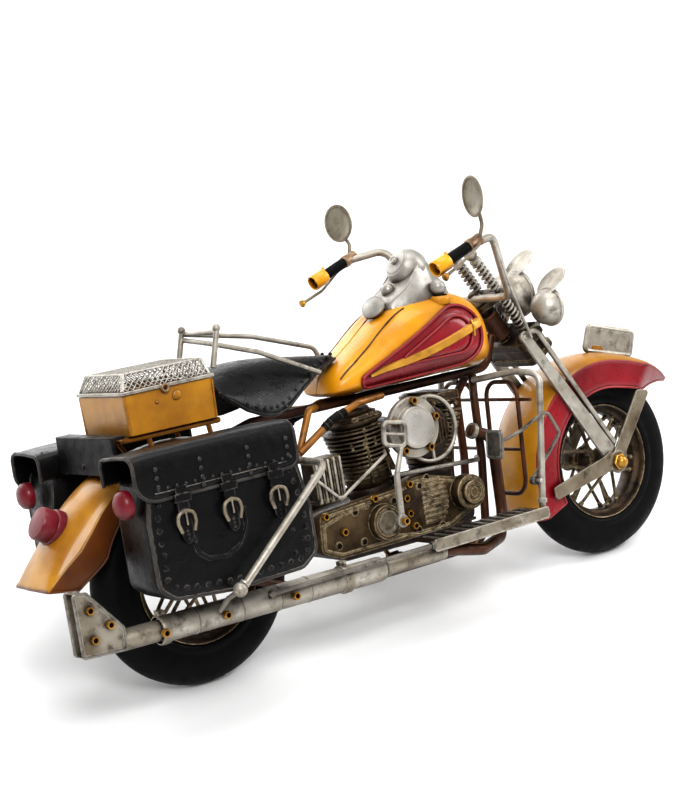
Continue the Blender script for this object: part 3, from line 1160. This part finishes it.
# ---------------------------------------------------------------- saddlebags
BAG = round_outline([(-47.5, 119), (-51.5, 98), (-51.5, 66), (-44, 59.5), (-12, 56.2), (28, 57), (37.5, 64),
                     (37.5, 86), (31.5, 119)], 7)


def inset(points, d):
    """The same closed outline, drawn d further in."""
    out = []
    turn = sum(points[i - 1][0] * p[1] - p[0] * points[i - 1][1] for i, p in enumerate(points))
    for i, b in enumerate(points):
        a, c = points[i - 1], points[(i + 1) % len(points)]
        tx, tz = c[0] - a[0], c[1] - a[1]
        k = math.copysign(d, turn) / math.hypot(tx, tz)
        out.append((b[0] - tz * k, b[1] + tx * k))
    return out


def along(points, pitch, closed=False):
    """Evenly spaced points with their side normals along a flat line."""
    pts = points + points[:1] if closed else points
    out, left = [], pitch / 2
    for a, b in zip(pts, pts[1:]):
        span = math.dist(a, b)
        while left <= span and span > 0:
            f = left / span
            out.append((a[0] + (b[0] - a[0]) * f, a[1] + (b[1] - a[1]) * f))
            left += pitch
        left -= span
    return out


def pillow(s, outline, levels, mat=0):
    """Closed soft-edged body: outline insets paired with y values, first and last closed by a flat face."""
    rows = [[V(x, y, z) for x, z in inset(outline, d)] for d, y in levels]
    return s.grid(rows, mat, loop=True, cap=True)


def right_dome(s, x, y, z, r=1.05, h=0.7, mat=0):
    s.dome(V(x, y, z), RIGHT, r, h, 10, mat)


MOUTH = 117
for tag, sign in (("left", 1), ("right", -1)):
    s = pillow(Shape(), BAG, [(2.2, -36), (0.6, -36.6), (0, -38.5), (0, -62.6), (0.5, -64.6), (1.8, -65.7),
                              (4.4, -66.1), (6.6, -66.3)])
    rim = inset(BAG, 0.9)
    low = [p for p in rim if p[1] < MOUTH]
    first = next(i for i in range(len(rim)) if rim[i][1] < MOUTH <= rim[i - 1][1])
    run = [rim[(first + k) % len(rim)] for k in range(len(low))]
    s.tube([V(x, -65.3, z) for x, z in run], 0.95, bend=0.1, seg=10, mat=1)
    s.tube([V(x, -37.6, z) for x, z in run], 0.9, bend=0.1, seg=8, mat=1)
    line = inset(BAG, 5.4)
    line = [line[(first + k) % len(line)] for k in range(len(low))]
    for x, z in along(line, 5.8):
        right_dome(s, x, -66.2, z, 1.3, 1.0)
    for x, z in ((24, 66), (29.5, 72), (24.5, 77), (30.5, 64.5)):
        right_dome(s, x, -66.5, z, 1.0, 0.9)
    relief = [V(-29, -66.7, 85.5), V(-28.5, -66.8, 79), V(-22.5, -66.8, 74.6), V(-13.5, -66.9, 73.6),
            V(-5, -66.8, 77.4), V(-0.8, -66.8, 84.5), V(-0.6, -66.7, 94)]
    s.tube(relief, 1.0, bend=5, seg=10)
    for i in (0, -1):
        s.ball(relief[i], 1.5, seg=10)
    if sign > 0:
        s.v = [V(p.x, -p.y, p.z) for p in s.v]
    piece("saddlebag_%s_body" % tag, s, "chassis", ["bag", "piping"],
          ["saddlebag_" + tag], smooth=50)

LID_PROFILE = [(34.9, 114.5), (34.9, 124.2), (36.2, 126.8), (39, 127.7), (51, 128.6), (62, 128.8), (65.4, 127.4),
       (67.1, 124.6), (67.2, 118), (67.2, 112.5), (67.2, 107.6)]
LID_X = [-55, -54.6, -53, -50.4, -47.5, -44.5, -40, -25, -8, 10, 22, 28, 30.6, 32.4, 33]


FLAP_LOW = 107.2


def lid_low(x):
    """Height of the outer flap's lower edge: level, with rounded corners."""
    if x < -44.5:
        return FLAP_LOW + 9.5 * (1 - math.sqrt(max(0, 1 - ((-44.5 - x) / 10.5) ** 2)))
    if x > 27:
        return FLAP_LOW + 4.5 * (1 - math.sqrt(max(0, 1 - ((x - 27) / 6.0) ** 2)))
    return FLAP_LOW


s = Shape()
rows = []
for x in LID_X:
    puff = 0.9 * (1 - ((x + 11) / 44) ** 4)
    low = lid_low(x)
    row = []
    for i, (y, z) in enumerate(LID_PROFILE):
        if i >= 7:
            z = 124.6 + (low - 124.6) * (124.6 - z) / (124.6 - 107.6)
        lift = puff if 3 <= i <= 6 else 0.4 * puff if i in (2, 7) else 0
        row.append(V(x, -y, z + lift))
    rows.append(row)
s.grid(rows)
s.mirrored()
piece("bag_lid_flaps", s, "chassis", ["bag"], ["bag_lids"], thick=1.6, smooth=45, levels=1)
s = Shape()
edge = list(rows[0]) + [r[-1] for r in rows[1:-1]] + list(reversed(rows[-1]))
s.tube([p + V(0, -0.2, 0) for p in edge], 0.95, bend=0.2, seg=10)
s.tube([V(x, -67.9, lid_low(x) + 3.4) for x in range(-46, 28, 6)], 0.34, bend=0.2, seg=6)
s.mirrored()
piece("bag_lid_piping", s, "chassis", ["piping"], smooth=60)
s = Shape()
for x, count in ((-44, 3), (-20.5, 4), (5.5, 4), (27.5, 3)):
    for k in range(count):
        right_dome(s, x, -67.9, 121.6 - k * 4.1, 1.35, 1.0)
for k in range(16):
    right_dome(s, -44 + k * 4.85, -67.9, 112.2, 1.0, 0.8)
for k in range(9):
    s.dome(V(-50 + k * 9.6, -40, 128.5), V(0, 0, 1), 0.9, 0.7, 10)
s.mirrored()
piece("bag_lid_rivets", s, "chassis", ["rivet"], smooth=60)

s = Shape()
for x in (-33, -8, 18):
    belt = [(x - 3, 112), (x + 3, 112), (x + 3, 87.4), (x + 1.6, 85.2), (x, 84.4), (x - 1.6, 85.2),
            (x - 3, 87.4)]
    s.slab(belt, -68.9, -67.4)
    s.slab([(x - 4.3, 104.4), (x + 4.3, 104.4), (x + 4.3, 108.2), (x - 4.3, 108.2)], -69.7, -67.2)
    for k in range(3):
        right_dome(s, x, -68.9, 87.0 + 2.0 * k - 0.4, 0.45, 0.2)
    shoe = [V(x - 3.3, -69.4, 90.2), V(x - 4.7, -69.4, 94.5), V(x - 4.2, -69.4, 98.8), V(x, -69.5, 100.2),
            V(x + 4.2, -69.4, 98.8), V(x + 4.7, -69.4, 94.5), V(x + 3.3, -69.4, 90.2)]
    s.tube(shoe, 0.95, bend=3, seg=10, mat=1)
    s.tube([V(x, -69.6, 99.8), V(x, -69.9, 93.4)], 0.5, seg=8, mat=1)
s.mirrored()
piece("bag_strap_belts", s, "chassis", ["bag", "old_silver"], ["bag_straps"], bevel=0.3)

s = Shape().tube([V(48, -28, 106), V(46, -72, 106), V(-10, -74, 60.5)], 1.9, 7, seg=16)
s.ball(V(-14, -74, 58), 3.6)
s.lathe([(2.0, 3.0), (2.5, 3.2), (2.5, 4.2), (2.0, 4.4)], V(-14, -74, 58), V(56, 2, 45.5), 16)
s.tube([V(-14, -74, 58), V(-12, -58, 52), V(-12, -48, 45)], 1.3, 4, seg=12)
s.mirrored()
piece("guard_bar_rods", s, "chassis", ["silver"], ["guard_bars"])

# ---------------------------------------------------------------- engine
CASE = round_outline([(72, 50), (72, 66), (110, 70), (166, 70), (174, 62), (172, 47), (160, 41.5), (84, 43)],
                     5)
s = pillow(Shape(), CASE, [(1.6, -19), (0.4, -18.4), (0, -17), (0, 17), (0.4, 18.4), (1.6, 19)])
for x, tilt in ((118, -6), (159, 8)):
    way = V(sind(tilt), 0, cosd(tilt))
    s.lathe([(0.01, -4), (11.4, -4), (12.4, -2), (12.4, 3.0), (11.6, 4.4), (12, 5.2), (12, 7), (0.01, 7.2)],
            V(x, 0, 72), way, 40)
for k in range(4):
    s.tube([V(150 + 1.5 * k, -19, 46 + 5 * k), V(172.4 - 0.4 * k, -17.5, 46 + 5 * k)], 0.9, seg=8)
piece("crankcase_shell", s, "chassis", ["dark"], ["crankcase"], smooth=45)


def barrel_work(name, foot, tilt, conical):
    lean = math.radians(tilt)
    axis = V(math.sin(lean), 0, math.cos(lean))
    at = V(foot, 0, 79)
    s = Shape()
    prof = [(0.01, 0.1), (12.4, 0.1), (13, 0.6), (13, 2.4)]
    for i in range(12):
        z, r = 3 + 2.4 * i, 13.5 + 0.5 * i
        prof += [(13, z - 0.15), (r - 0.3, z), (r, z + 0.3), (r, z + 0.8), (r - 0.3, z + 1.1), (13, z + 1.3)]
    prof += [(13.4, 32.6), (15.4, 32.8), (16, 33.4)]
    if conical:
        prof += [(16, 34.6), (15.4, 35.2), (13.2, 35.5), (12.4, 37.4), (10.2, 38.6), (9.6, 40.2),
                 (6.2, 40.6), (0.01, 40.7)]
    else:
        prof += [(16, 35.2), (15.2, 35.4), (15.2, 36.4), (15.8, 36.6), (15.8, 38.2), (14.6, 38.6),
                 (13.4, 39.6), (9.0, 40.2), (0.01, 40.3)]
    s.lathe(prof, at, axis, 56)
    across = V(0, 1, 0)
    ahead = across.cross(axis)
    for k in range(6):
        a = math.radians(30 + 60 * k)
        high, out = (35.2, 13.8) if conical else (38.3, 12.4)
        bolt = at + axis * high + (across * math.cos(a) + ahead * math.sin(a)) * out
        s.lathe([(1.7, -0.6), (1.7, 1.0), (1.2, 1.5), (0.01, 1.6)], bolt, axis, 6, 1)
    for k in range(-2, 3):
        if conical:
            a = math.radians(-90 + 24 * k)
            p = at + (ahead * math.cos(a) * -1 + across * math.sin(a)) * 15.8
            s.tube([p + axis * 20, p + axis * 24.5], 0.9, seg=7, mat=1)
    if not conical:
        for z in (22, 27.5, 33.5):
            for k in (-1, 0, 1):
                s.lathe([(1.5, 0), (1.5, 1.0), (1.0, 1.4), (0.01, 1.5)], (at + axis * z + ahead * 7.5 * k
                         - across * math.sqrt(18.2 ** 2 - (7.5 * k) ** 2) * 0.93),
                        V(0.4 * k, -1, 0), 6, 1)
    for dx in (-1, 1):
        s.tube([at + axis + ahead * (6 * dx) - across * 13.5,
                at + axis * 31 + ahead * (5 * dx) - across * 15.6], 0.9,
               seg=8)
    if conical:
        s.tube([at + axis * 4 + ahead * 9 - across * 13.4, at + axis * 37 + ahead * 2.5 - across * 11.5],
               1.5, seg=10)
    else:
        s.block((foot + 1, -15.8, 113.5), (foot + 15.5, 15.8, 118.4))
    piece(name + "_barrel", s, "chassis", ["bronze", "case"], [name], smooth=34, bevel=0.25)


barrel_work("rear_cylinder", 117.5, -6, True)
barrel_work("front_cylinder", 160, 8, False)

s = Shape().lathe([(0.01, 4.5), (13.4, 4.5), (14.4, 4.0), (14.5, 3.4), (14.5, 0), (0.01, 0)],
                  V(145, -19.5, 100.5), RIGHT, 56)
s.lathe([(10, 0), (10, 2)], V(138, -24, 104), RIGHT, 40)
for k in range(6):
    x = 147.5 + 2.1 * k
    half = math.sqrt(max(4, 13.8 ** 2 - (x - 145) ** 2)) * 0.62
    s.tube([V(x, -24.4, 100.5 - half), V(x, -24.4, 100.5 + half)], 0.62, seg=8)
s.tube([V(146 + 17.6 * cosd(a), -24,
          102 + 17.6 * sind(a)) for a in range(0, 360, 6)],
       1.2, bend=0.1, seg=12, closed=True, mat=1)
s.tube([V(146, -24, 119), V(146, -24, 114)], 0.9, seg=8, mat=1)
s.tube([V(146, -24, 85), V(146, -24, 90)], 0.9, seg=8, mat=1)
piece("air_cleaner_disc", s, "chassis", ["dark", "silver"], ["air_cleaner"], smooth=40)
COVER = V(132, -26, 105.5)
s = Shape().lathe([(0.01, 0), (15.9, 0), (16.5, 0.5), (16.5, 3.3), (16.0, 4.0), (12.4, 4.1), (12.0, 4.3),
                   (11.7, 4.9), (11.5, 6.3), (11.0, 6.9), (9.8, 7.0)], COVER, RIGHT, 64)
s.lathe([(9.8, 7.0), (9.4, 6.8), (4, 6.8), (0.01, 6.85)], COVER, RIGHT, 64, 1)
piece("air_cleaner_lid", s, "chassis", ["silver", "white_silver"],
      ["air_cleaner_cover"], smooth=35)

GEAR_FACE = -26
GEAR = round_outline([(64, 52), (66, 73), (116, 75.5), (128, 79), (136, 79), (162, 72), (167, 66), (166, 53),
                      (150, 46.6), (76, 46.6)], 4)
s = pillow(Shape(), GEAR, [(0.6, -19.4), (0, -20), (0, -25), (0.5, -25.8), (1.3, -26)])
face = [V(x, GEAR_FACE, z) for x, z in inset(GEAR, 2.6)]
s.tube(face, 0.5, bend=0.1, seg=8, closed=True)
for c, prof in (((105, 60), [(9.5, 0), (9.5, 4.2), (9.1, 4.9), (7.4, 5.0), (7.0, 4.2), (6.2, 4.2)]),
                ((161, 64), [(9.5, 0), (9.5, 6.6), (9.0, 7.0), (8.0, 7.0), (7.7, 6.3), (6.7, 6.3),
                             (6.5, 9.0), (6.0, 9.5),
                             (4.6, 9.4), (4.3, 8.6), (3.0, 8.6), (2.6, 9.6), (0.01, 9.9)])):
    s.lathe(prof, V(c[0], GEAR_FACE, c[1]), RIGHT, 44, 1)
s.lathe([(6.2, 4.2), (6.1, 5.0), (5.4, 5.1), (4.6, 4.4), (0.01, 4.4)], V(105, GEAR_FACE, 60), RIGHT, 40, 2)
for k in range(9):
    z = 53 + 2.7 * k
    s.tube([V(133, GEAR_FACE, z), V(149.5 - 0.25 * abs(k - 4) ** 2, GEAR_FACE, z)], 0.8, seg=8)
for x, z in ((75, 54), (88, 69), (113.5, 69.5), (91, 52.5), (137, 77), (127, 50.5), (143, 49.5),
             (131.5, 73.5)):
    s.lathe([(2.1, 0), (2.0, 0.5), (1.5, 0.6)], V(x, GEAR_FACE, z), RIGHT, 20)
    s.lathe([(1.5, 0.6), (1.3, 0.2), (0.01, 0.2)], V(x, GEAR_FACE, z), RIGHT, 20, 3)
s.tube([V(67, GEAR_FACE, 66), V(84, GEAR_FACE, 70), V(97, GEAR_FACE, 70)], 0.6, 3, seg=8)
s.tube([V(112, GEAR_FACE, 51), V(128, GEAR_FACE, 48), V(148, GEAR_FACE, 48.5)], 0.6, 3, seg=8)
piece("gear_cover_plate", s, "chassis", ["case", "case", "old_silver", "bore"], ["gear_cover"],
      smooth=36)

s = Shape()
NUTS = [(p, GEAR_FACE) for p in ((69, 71), (79, 60.5), (101, 73.3), (124.5, 76), (121.2, 69), (122, 60.5),
                           (124.4, 53.3))]
NUTS += [(p, -47.4) for p in ((-43, 42.2), (-9, 42), (31, 41))]
NUTS += [(p, -44.5) for p in ((-78, 62), (-78, 48), (-69, 53))]
NUTS += [((132 + 14.3 * cosd(a), 105.5 + 14.3 * sind(a)), -30)
         for a in range(14, 303, 72)]
NUTS.append(((109.5, 60), -39.1))
for (x, z), y in NUTS:
    s.lathe([(1.25, 0.4), (1.25, 2.0), (1.5, 2.35), (2.0, 2.3), (2.2, 2.0), (2.2, -0.2)], V(x, y, z),
            RIGHT, 6)
    s.lathe([(1.9, 2.1), (1.75, 2.45), (1.35, 2.5), (1.15, 2.2)], V(x, y, z), RIGHT, 24)
    s.lathe([(1.2, 2.2), (1.1, 1.2), (0.01, 1.1)], V(x, y, z), RIGHT, 20, 1)
piece("brass_nut_rings", s, "chassis", ["brass", "bore"], ["brass_nuts"], smooth=35)

s = Shape().block((64, -30.9, 78.4), (81, -19, 101.4))
for k in range(5):
    s.block((64.5 + 3.7 * k, -32.6, 78.9), (65.9 + 3.7 * k, -30.4, 100.9), 1)
s.block((63.8, -31.6, 99.4), (81.2, -18.8, 101.6))
s.block((63.8, -31.6, 78.2), (81.2, -18.8, 80.2))
piece("battery_box_case", s, "chassis", ["bronze", "silver"], ["battery_box"], bevel=0.45)

PRIME = round_outline([(64, 42), (176, 42), (176, 74), (64, 74)], 15.9)
s = pillow(Shape(), PRIME, [(1, 19.2), (0, 19.8), (0, 23.6), (0.6, 24.8), (1.8, 25.2)])
s = pillow(s, inset(PRIME, 4), [(0, 25.2), (0, 26.2), (0.6, 26.8)])
s.lathe([(7.4, 0), (7.4, 0.9), (6.6, 1.3), (0.01, 1.4)], V(83, 26.4, 58), V(0, 1, 0), 40, 1)
s.lathe([(9.0, 0), (9.0, 0.9), (8.2, 1.3), (5, 1.0), (0.01, 1.2)], V(156, 26.4, 58), V(0, 1, 0), 40, 1)
for x, z in along(inset(PRIME, 2.2), 14, True):
    s.lathe([(1.3, -0.3), (1.3, 0.8), (0.9, 1.1), (0.01, 1.1)], V(x, 25.0, z), V(0, 1, 0), 6, 1)
piece("primary_cover_plate", s, "chassis", ["case", "case_light"], ["primary_cover"],
      smooth=36)

s = Shape().tube([V(61, -33.6, 94), V(76, -33.6, 79), V(108, -33.6, 96), V(110, -30, 97)], 0.9, 2, seg=10)
s.tube([V(116, -29.8, 83), V(174, -26, 79), V(184, -12, 78)], 1.3, 4, seg=12, mat=1)
s.tube([V(16, -48.8, 45.5), V(119, -48.8, 45.4)], 1.3, seg=12, mat=1)
for p in (V(61, -33.6, 94), V(76, -33.6, 79.6)):
    s.dome(p + V(0, -0.6, 0), RIGHT, 1.5, 0.9, 12)
for x in (17, 118):
    s.lathe([(1.8, -1.2), (2.1, -0.8), (2.1, 0.8), (1.8, 1.2)], V(x, -48.8, 45.5), V(1, 0, 0), 16, 1)
piece("linkage_rod_set", s, "chassis", ["silver", "steel"], ["linkage_rods"])

# ---------------------------------------------------------------- exhaust
HEADER = [V(181, -13, 94), V(194, -16, 88), V(193, -16, 44), V(183, -24, 33), V(158, -39, 33),
          V(134, -40, 38.5), V(90, -40, 39.5)]
s = Shape().tube(HEADER, 3.2, 8, seg=18)
s.tube([V(90.2, -40, 39.5), V(130, -40, 38.8)], 4.4, seg=24, mat=1)
s.lathe([(3.3, -1.6), (4.6, -1.4), (4.6, 0.9), (3.3, 1.1)], V(182.5, -13.4, 93.2), V(-0.9, 0, 0.4), 28, 1)
for x in (92, 128.4):
    s.lathe([(4.4, -1.2), (5.0, -0.9), (5.0, 0.9), (4.4, 1.2)], V(x, -40, 39.2), V(1, 0, 0), 28, 1)
piece("exhaust_header", s, "chassis", ["tube", "burnt"], ["exhaust_pipe"])

MUFFLER_WAY = V(132, 0, -2.9).normalized()
s = Shape().lathe([(4.4, -0.4), (5.4, 0), (6.3, 1.2), (6.5, 2.6), (6.5, 129.4), (6.3, 130.8), (5.4, 131.8),
                   (4.4, 132)],
                  V(-42, -40, 42.5), MUFFLER_WAY, 44)
s.lathe([(3.4, -20.4), (5.0, -20), (5.2, -19.4), (5.2, 0.4), (4.8, 0.8)], V(-42, -40, 42.5), MUFFLER_WAY, 40,
        1)
for d in (19, 44, 66, 84):
    s.lathe([(6.5, -0.5), (6.75, -0.3), (6.75, 0.3), (6.5, 0.5)], V(-42 + d, -40, 42.5 - d * 0.022),
            MUFFLER_WAY, 44, 2)
for x in (-43, 63):
    at = V(x, -40, 42.5 - (x + 43) * 0.022)
    s.lathe([(6.4, 0), (7.1, 0.1), (7.4, 0.6), (7.4, 4.4), (7.1, 4.9), (6.4, 5)], at, MUFFLER_WAY, 44, 1)
    s.block((x + 0.6, -42, at.z + 6.6), (x + 4.4, -38, at.z + 9.4), 1)
    s.tube([V(x + 2.5, -43.5, at.z + 8.3), V(x + 2.5, -36.5, at.z + 8.3)], 0.8, seg=8, mat=1)
piece("muffler_can", s, "chassis", ["silver", "burnt", "steel"], ["muffler"], smooth=35,
      bevel=0.15)

TAIL = [(-62, 39.5), (-62, 50), (-78, 70), (-84.5, 71), (-84.5, 41)]
s = Shape()
soft = round_outline(TAIL, 1.2)
for y in (-44.5, -36.7):
    s.slab(soft, y, y + 1.2)
s.tube([V(x, -44.4, z) for x, z in soft], 0.8, bend=0.1, seg=8, closed=True, mat=1)
s.tube([V(x, -35.6, z) for x, z in soft], 0.8, bend=0.1, seg=8, closed=True, mat=1)
for a, b in ((TAIL[0], TAIL[1]), (TAIL[1], TAIL[2]), (TAIL[2], TAIL[3]), (TAIL[0], TAIL[4])):
    s.grid([[V(a[0], -44.4, a[1]), V(b[0], -44.4, b[1])], [V(a[0], -35.6, a[1]), V(b[0], -35.6, b[1])]])
piece("fishtail_plates", s, "chassis", ["burnt", "steel"], ["fishtail"], bevel=0.25)

# ---------------------------------------------------------------- boards, bars and pedals
s = Shape()
s.slab(round_outline([(122, 45), (198, 45), (198, 46.5), (122, 46.5)], 0.4), -46, -28)
for k in range(11):
    s.block((126 + 6.6 * k, -44.6, 46.3), (127.6 + 6.6 * k, -29.6, 47.2), 2)
edge_strip = round_outline([(120, 41.5), (120, 47.5), (200, 47.5), (200, 41.5)], 1.6)
s.slab(edge_strip, -48, -46.4, 1)
s.tube([V(x, -48, z) for x, z in edge_strip], 0.45, bend=0.1, seg=8, closed=True, mat=1)
for x in (134, 170):
    s.tube([V(x, -30, 44.4), V(x, -14, 30)], 1.3, seg=12, mat=3)
    s.lathe([(2.6, 0), (2.6, 0.9), (2.0, 1.2), (0.01, 1.2)], V(x, -31, 44.8), V(0, 0.74, -0.67), 16, 3)
s.mirrored()
piece("floorboard_trays", s, "chassis", ["dark", "burnt", "steel", "brass_tube"],
      ["floorboards"], bevel=0.25)

s = Shape().tube([V(193, -8, 120), V(205, -30, 122.5), V(211, -44.4, 120), V(199, -44.4, 46.9)], 1.9, 6,
                 seg=16)
s.tube([V(199, -6, 54), V(203, -6, 117), V(203, -33, 117), V(199, -33, 54)], 1.3, 9, seg=12, closed=True,
       mat=1)
s.tube([V(201, -6, 79), V(201, -33, 79)], 1.0, seg=10, mat=1)
s.lathe([(1.9, -1.4), (2.7, -1.1), (2.7, 1.1), (1.9, 1.4)], V(199.6, -44.4, 51), V(12, 0, 73), 20)
s.mirrored()
s.tube([V(202.5, -44, 107), V(202.5, 44, 107)], 1.0, seg=10, mat=1)
s.tube([V(199.5, -46.4, 62), V(199.5, -37.9, 62)], 1.2, seg=12)
piece("crash_bar_rods", s, "chassis", ["silver", "tube"], ["crash_bars"])

KICK_Y = -36.6
s = Shape().lathe([(1.75, -1.8), (3.2, -1.8), (3.4, -1.5), (3.4, 1.5), (3.2, 1.8), (1.75, 1.8)],
                  V(109.5, KICK_Y, 60), V(0, 1, 0), 32, closed=True)
s.tube([V(109.7, KICK_Y, 63), V(110.8, KICK_Y, 84), V(116.5, KICK_Y, 98)], [1.9, 1.4], 8, seg=14)
LOOP = [V(106.2, KICK_Y, 101.5), V(107.6, KICK_Y, 113), V(121.3, KICK_Y, 110.6), V(119.2, KICK_Y, 97.8)]
s.tube(LOOP, 1.35, 2.8, seg=14, closed=True)
s.tube([(LOOP[0] + LOOP[1]) / 2, (LOOP[2] + LOOP[3]) / 2], 0.95, seg=10)
piece("kick_lever_rod", s, "kick", ["silver"], ["kick_lever"])

s = Shape().lathe([(1.35, -1.6), (2.4, -1.6), (2.6, -1.3), (2.6, 1.3), (2.4, 1.6), (1.35, 1.6)],
                  V(199.5, -40.5, 62), V(0, 1, 0), 28, closed=True)
s.tube([V(199.5, -40.5, 64), V(211, -41, 74), V(214.5, -50, 86), V(207, -50.5, 100), V(199, -49.5, 97),
        V(195, -41, 91), V(182, -37, 87)], 1.0, 5, seg=12)
tip = math.radians(8)
pad = Matrix.Translation(V(180, -40, 78)) @ Matrix.Rotation(tip, 4, 'Y')
start = len(s.v)
plate = round_outline([(0, 0), (14, 0), (14, 16), (0, 16)], 2.4)
s.grid([[V(x, y, z) for y, z in inset(plate, d)] for d, x in ((0.4, -0.3), (0, 0), (0, 1.1), (0.4, 1.4))], 1,
       loop=True, cap=True)
s.tube([V(-0.4, y, z) for y, z in inset(plate, 1.2)], 0.4, bend=0.1, seg=8, closed=True, mat=1)
s.moved(pad, start)
piece("brake_pedal_rod", s, "brake", ["steel", "steel"], ["brake_pedal"], bevel=0.3)

# ---------------------------------------------------------------- stage
floor_me = bpy.data.meshes.new("floor")
R = 6
cove = [(-R, 0)] + [(2.2 + 1.2 * sind(a),
                     1.2 - 1.2 * cosd(a)) for a in range(0, 91, 9)]
cove.append((3.4, 4.5))
floor_me.from_pydata([(x, y, z) for y, z in cove for x in (-R, R)], [],
                     [[2 * i, 2 * i + 1, 2 * i + 3, 2 * i + 2] for i in range(len(cove) - 1)])
floor_me.shade_smooth()
floor_mat = Nodes("pale_floor")
floor_me.materials.append(floor_mat.out(floor_mat.mix(floor_mat.noise(3), (0.86, 0.86, 0.86, 1),
                                                      (0.9, 0.9, 0.9, 1)), 0.6))
floor = bpy.data.objects.new("floor", floor_me)
bpy.context.scene.collection.objects.link(floor)
world = bpy.data.worlds.new("studio")
bpy.context.scene.world = world
world.use_nodes = True
world.node_tree.nodes["Background"].inputs["Color"].default_value = (1, 1, 1, 1)
world.node_tree.nodes["Background"].inputs["Strength"].default_value = 0.42


def softbox(name, at, aim, size, power):
    data = bpy.data.lights.new(name, 'AREA')
    data.shape, data.size, data.size_y, data.energy = 'RECTANGLE', size[0], size[1], power
    obj = bpy.data.objects.new(name, data)
    bpy.context.scene.collection.objects.link(obj)
    obj.location = at
    obj.rotation_euler = (Vector(aim) - Vector(at)).to_track_quat('-Z', 'Y').to_euler()


softbox("key", (-0.5, -0.9, 1.1), (0, 0, 0.1), (0.6, 0.6), 12)
softbox("top", (0.2, 0.1, 1.5), (0, 0, 0.1), (1.0, 0.7), 9)
softbox("rim", (0.9, -0.4, 0.7), (0, 0, 0.1), (0.4, 0.6), 5)
softbox("backdrop", (0, 1.6, 2.4), (0, 3.4, 1.6), (4.0, 1.0), 190)
bpy.context.scene.view_settings.view_transform = 'Standard'
bpy.context.scene.view_settings.look = 'Medium High Contrast'
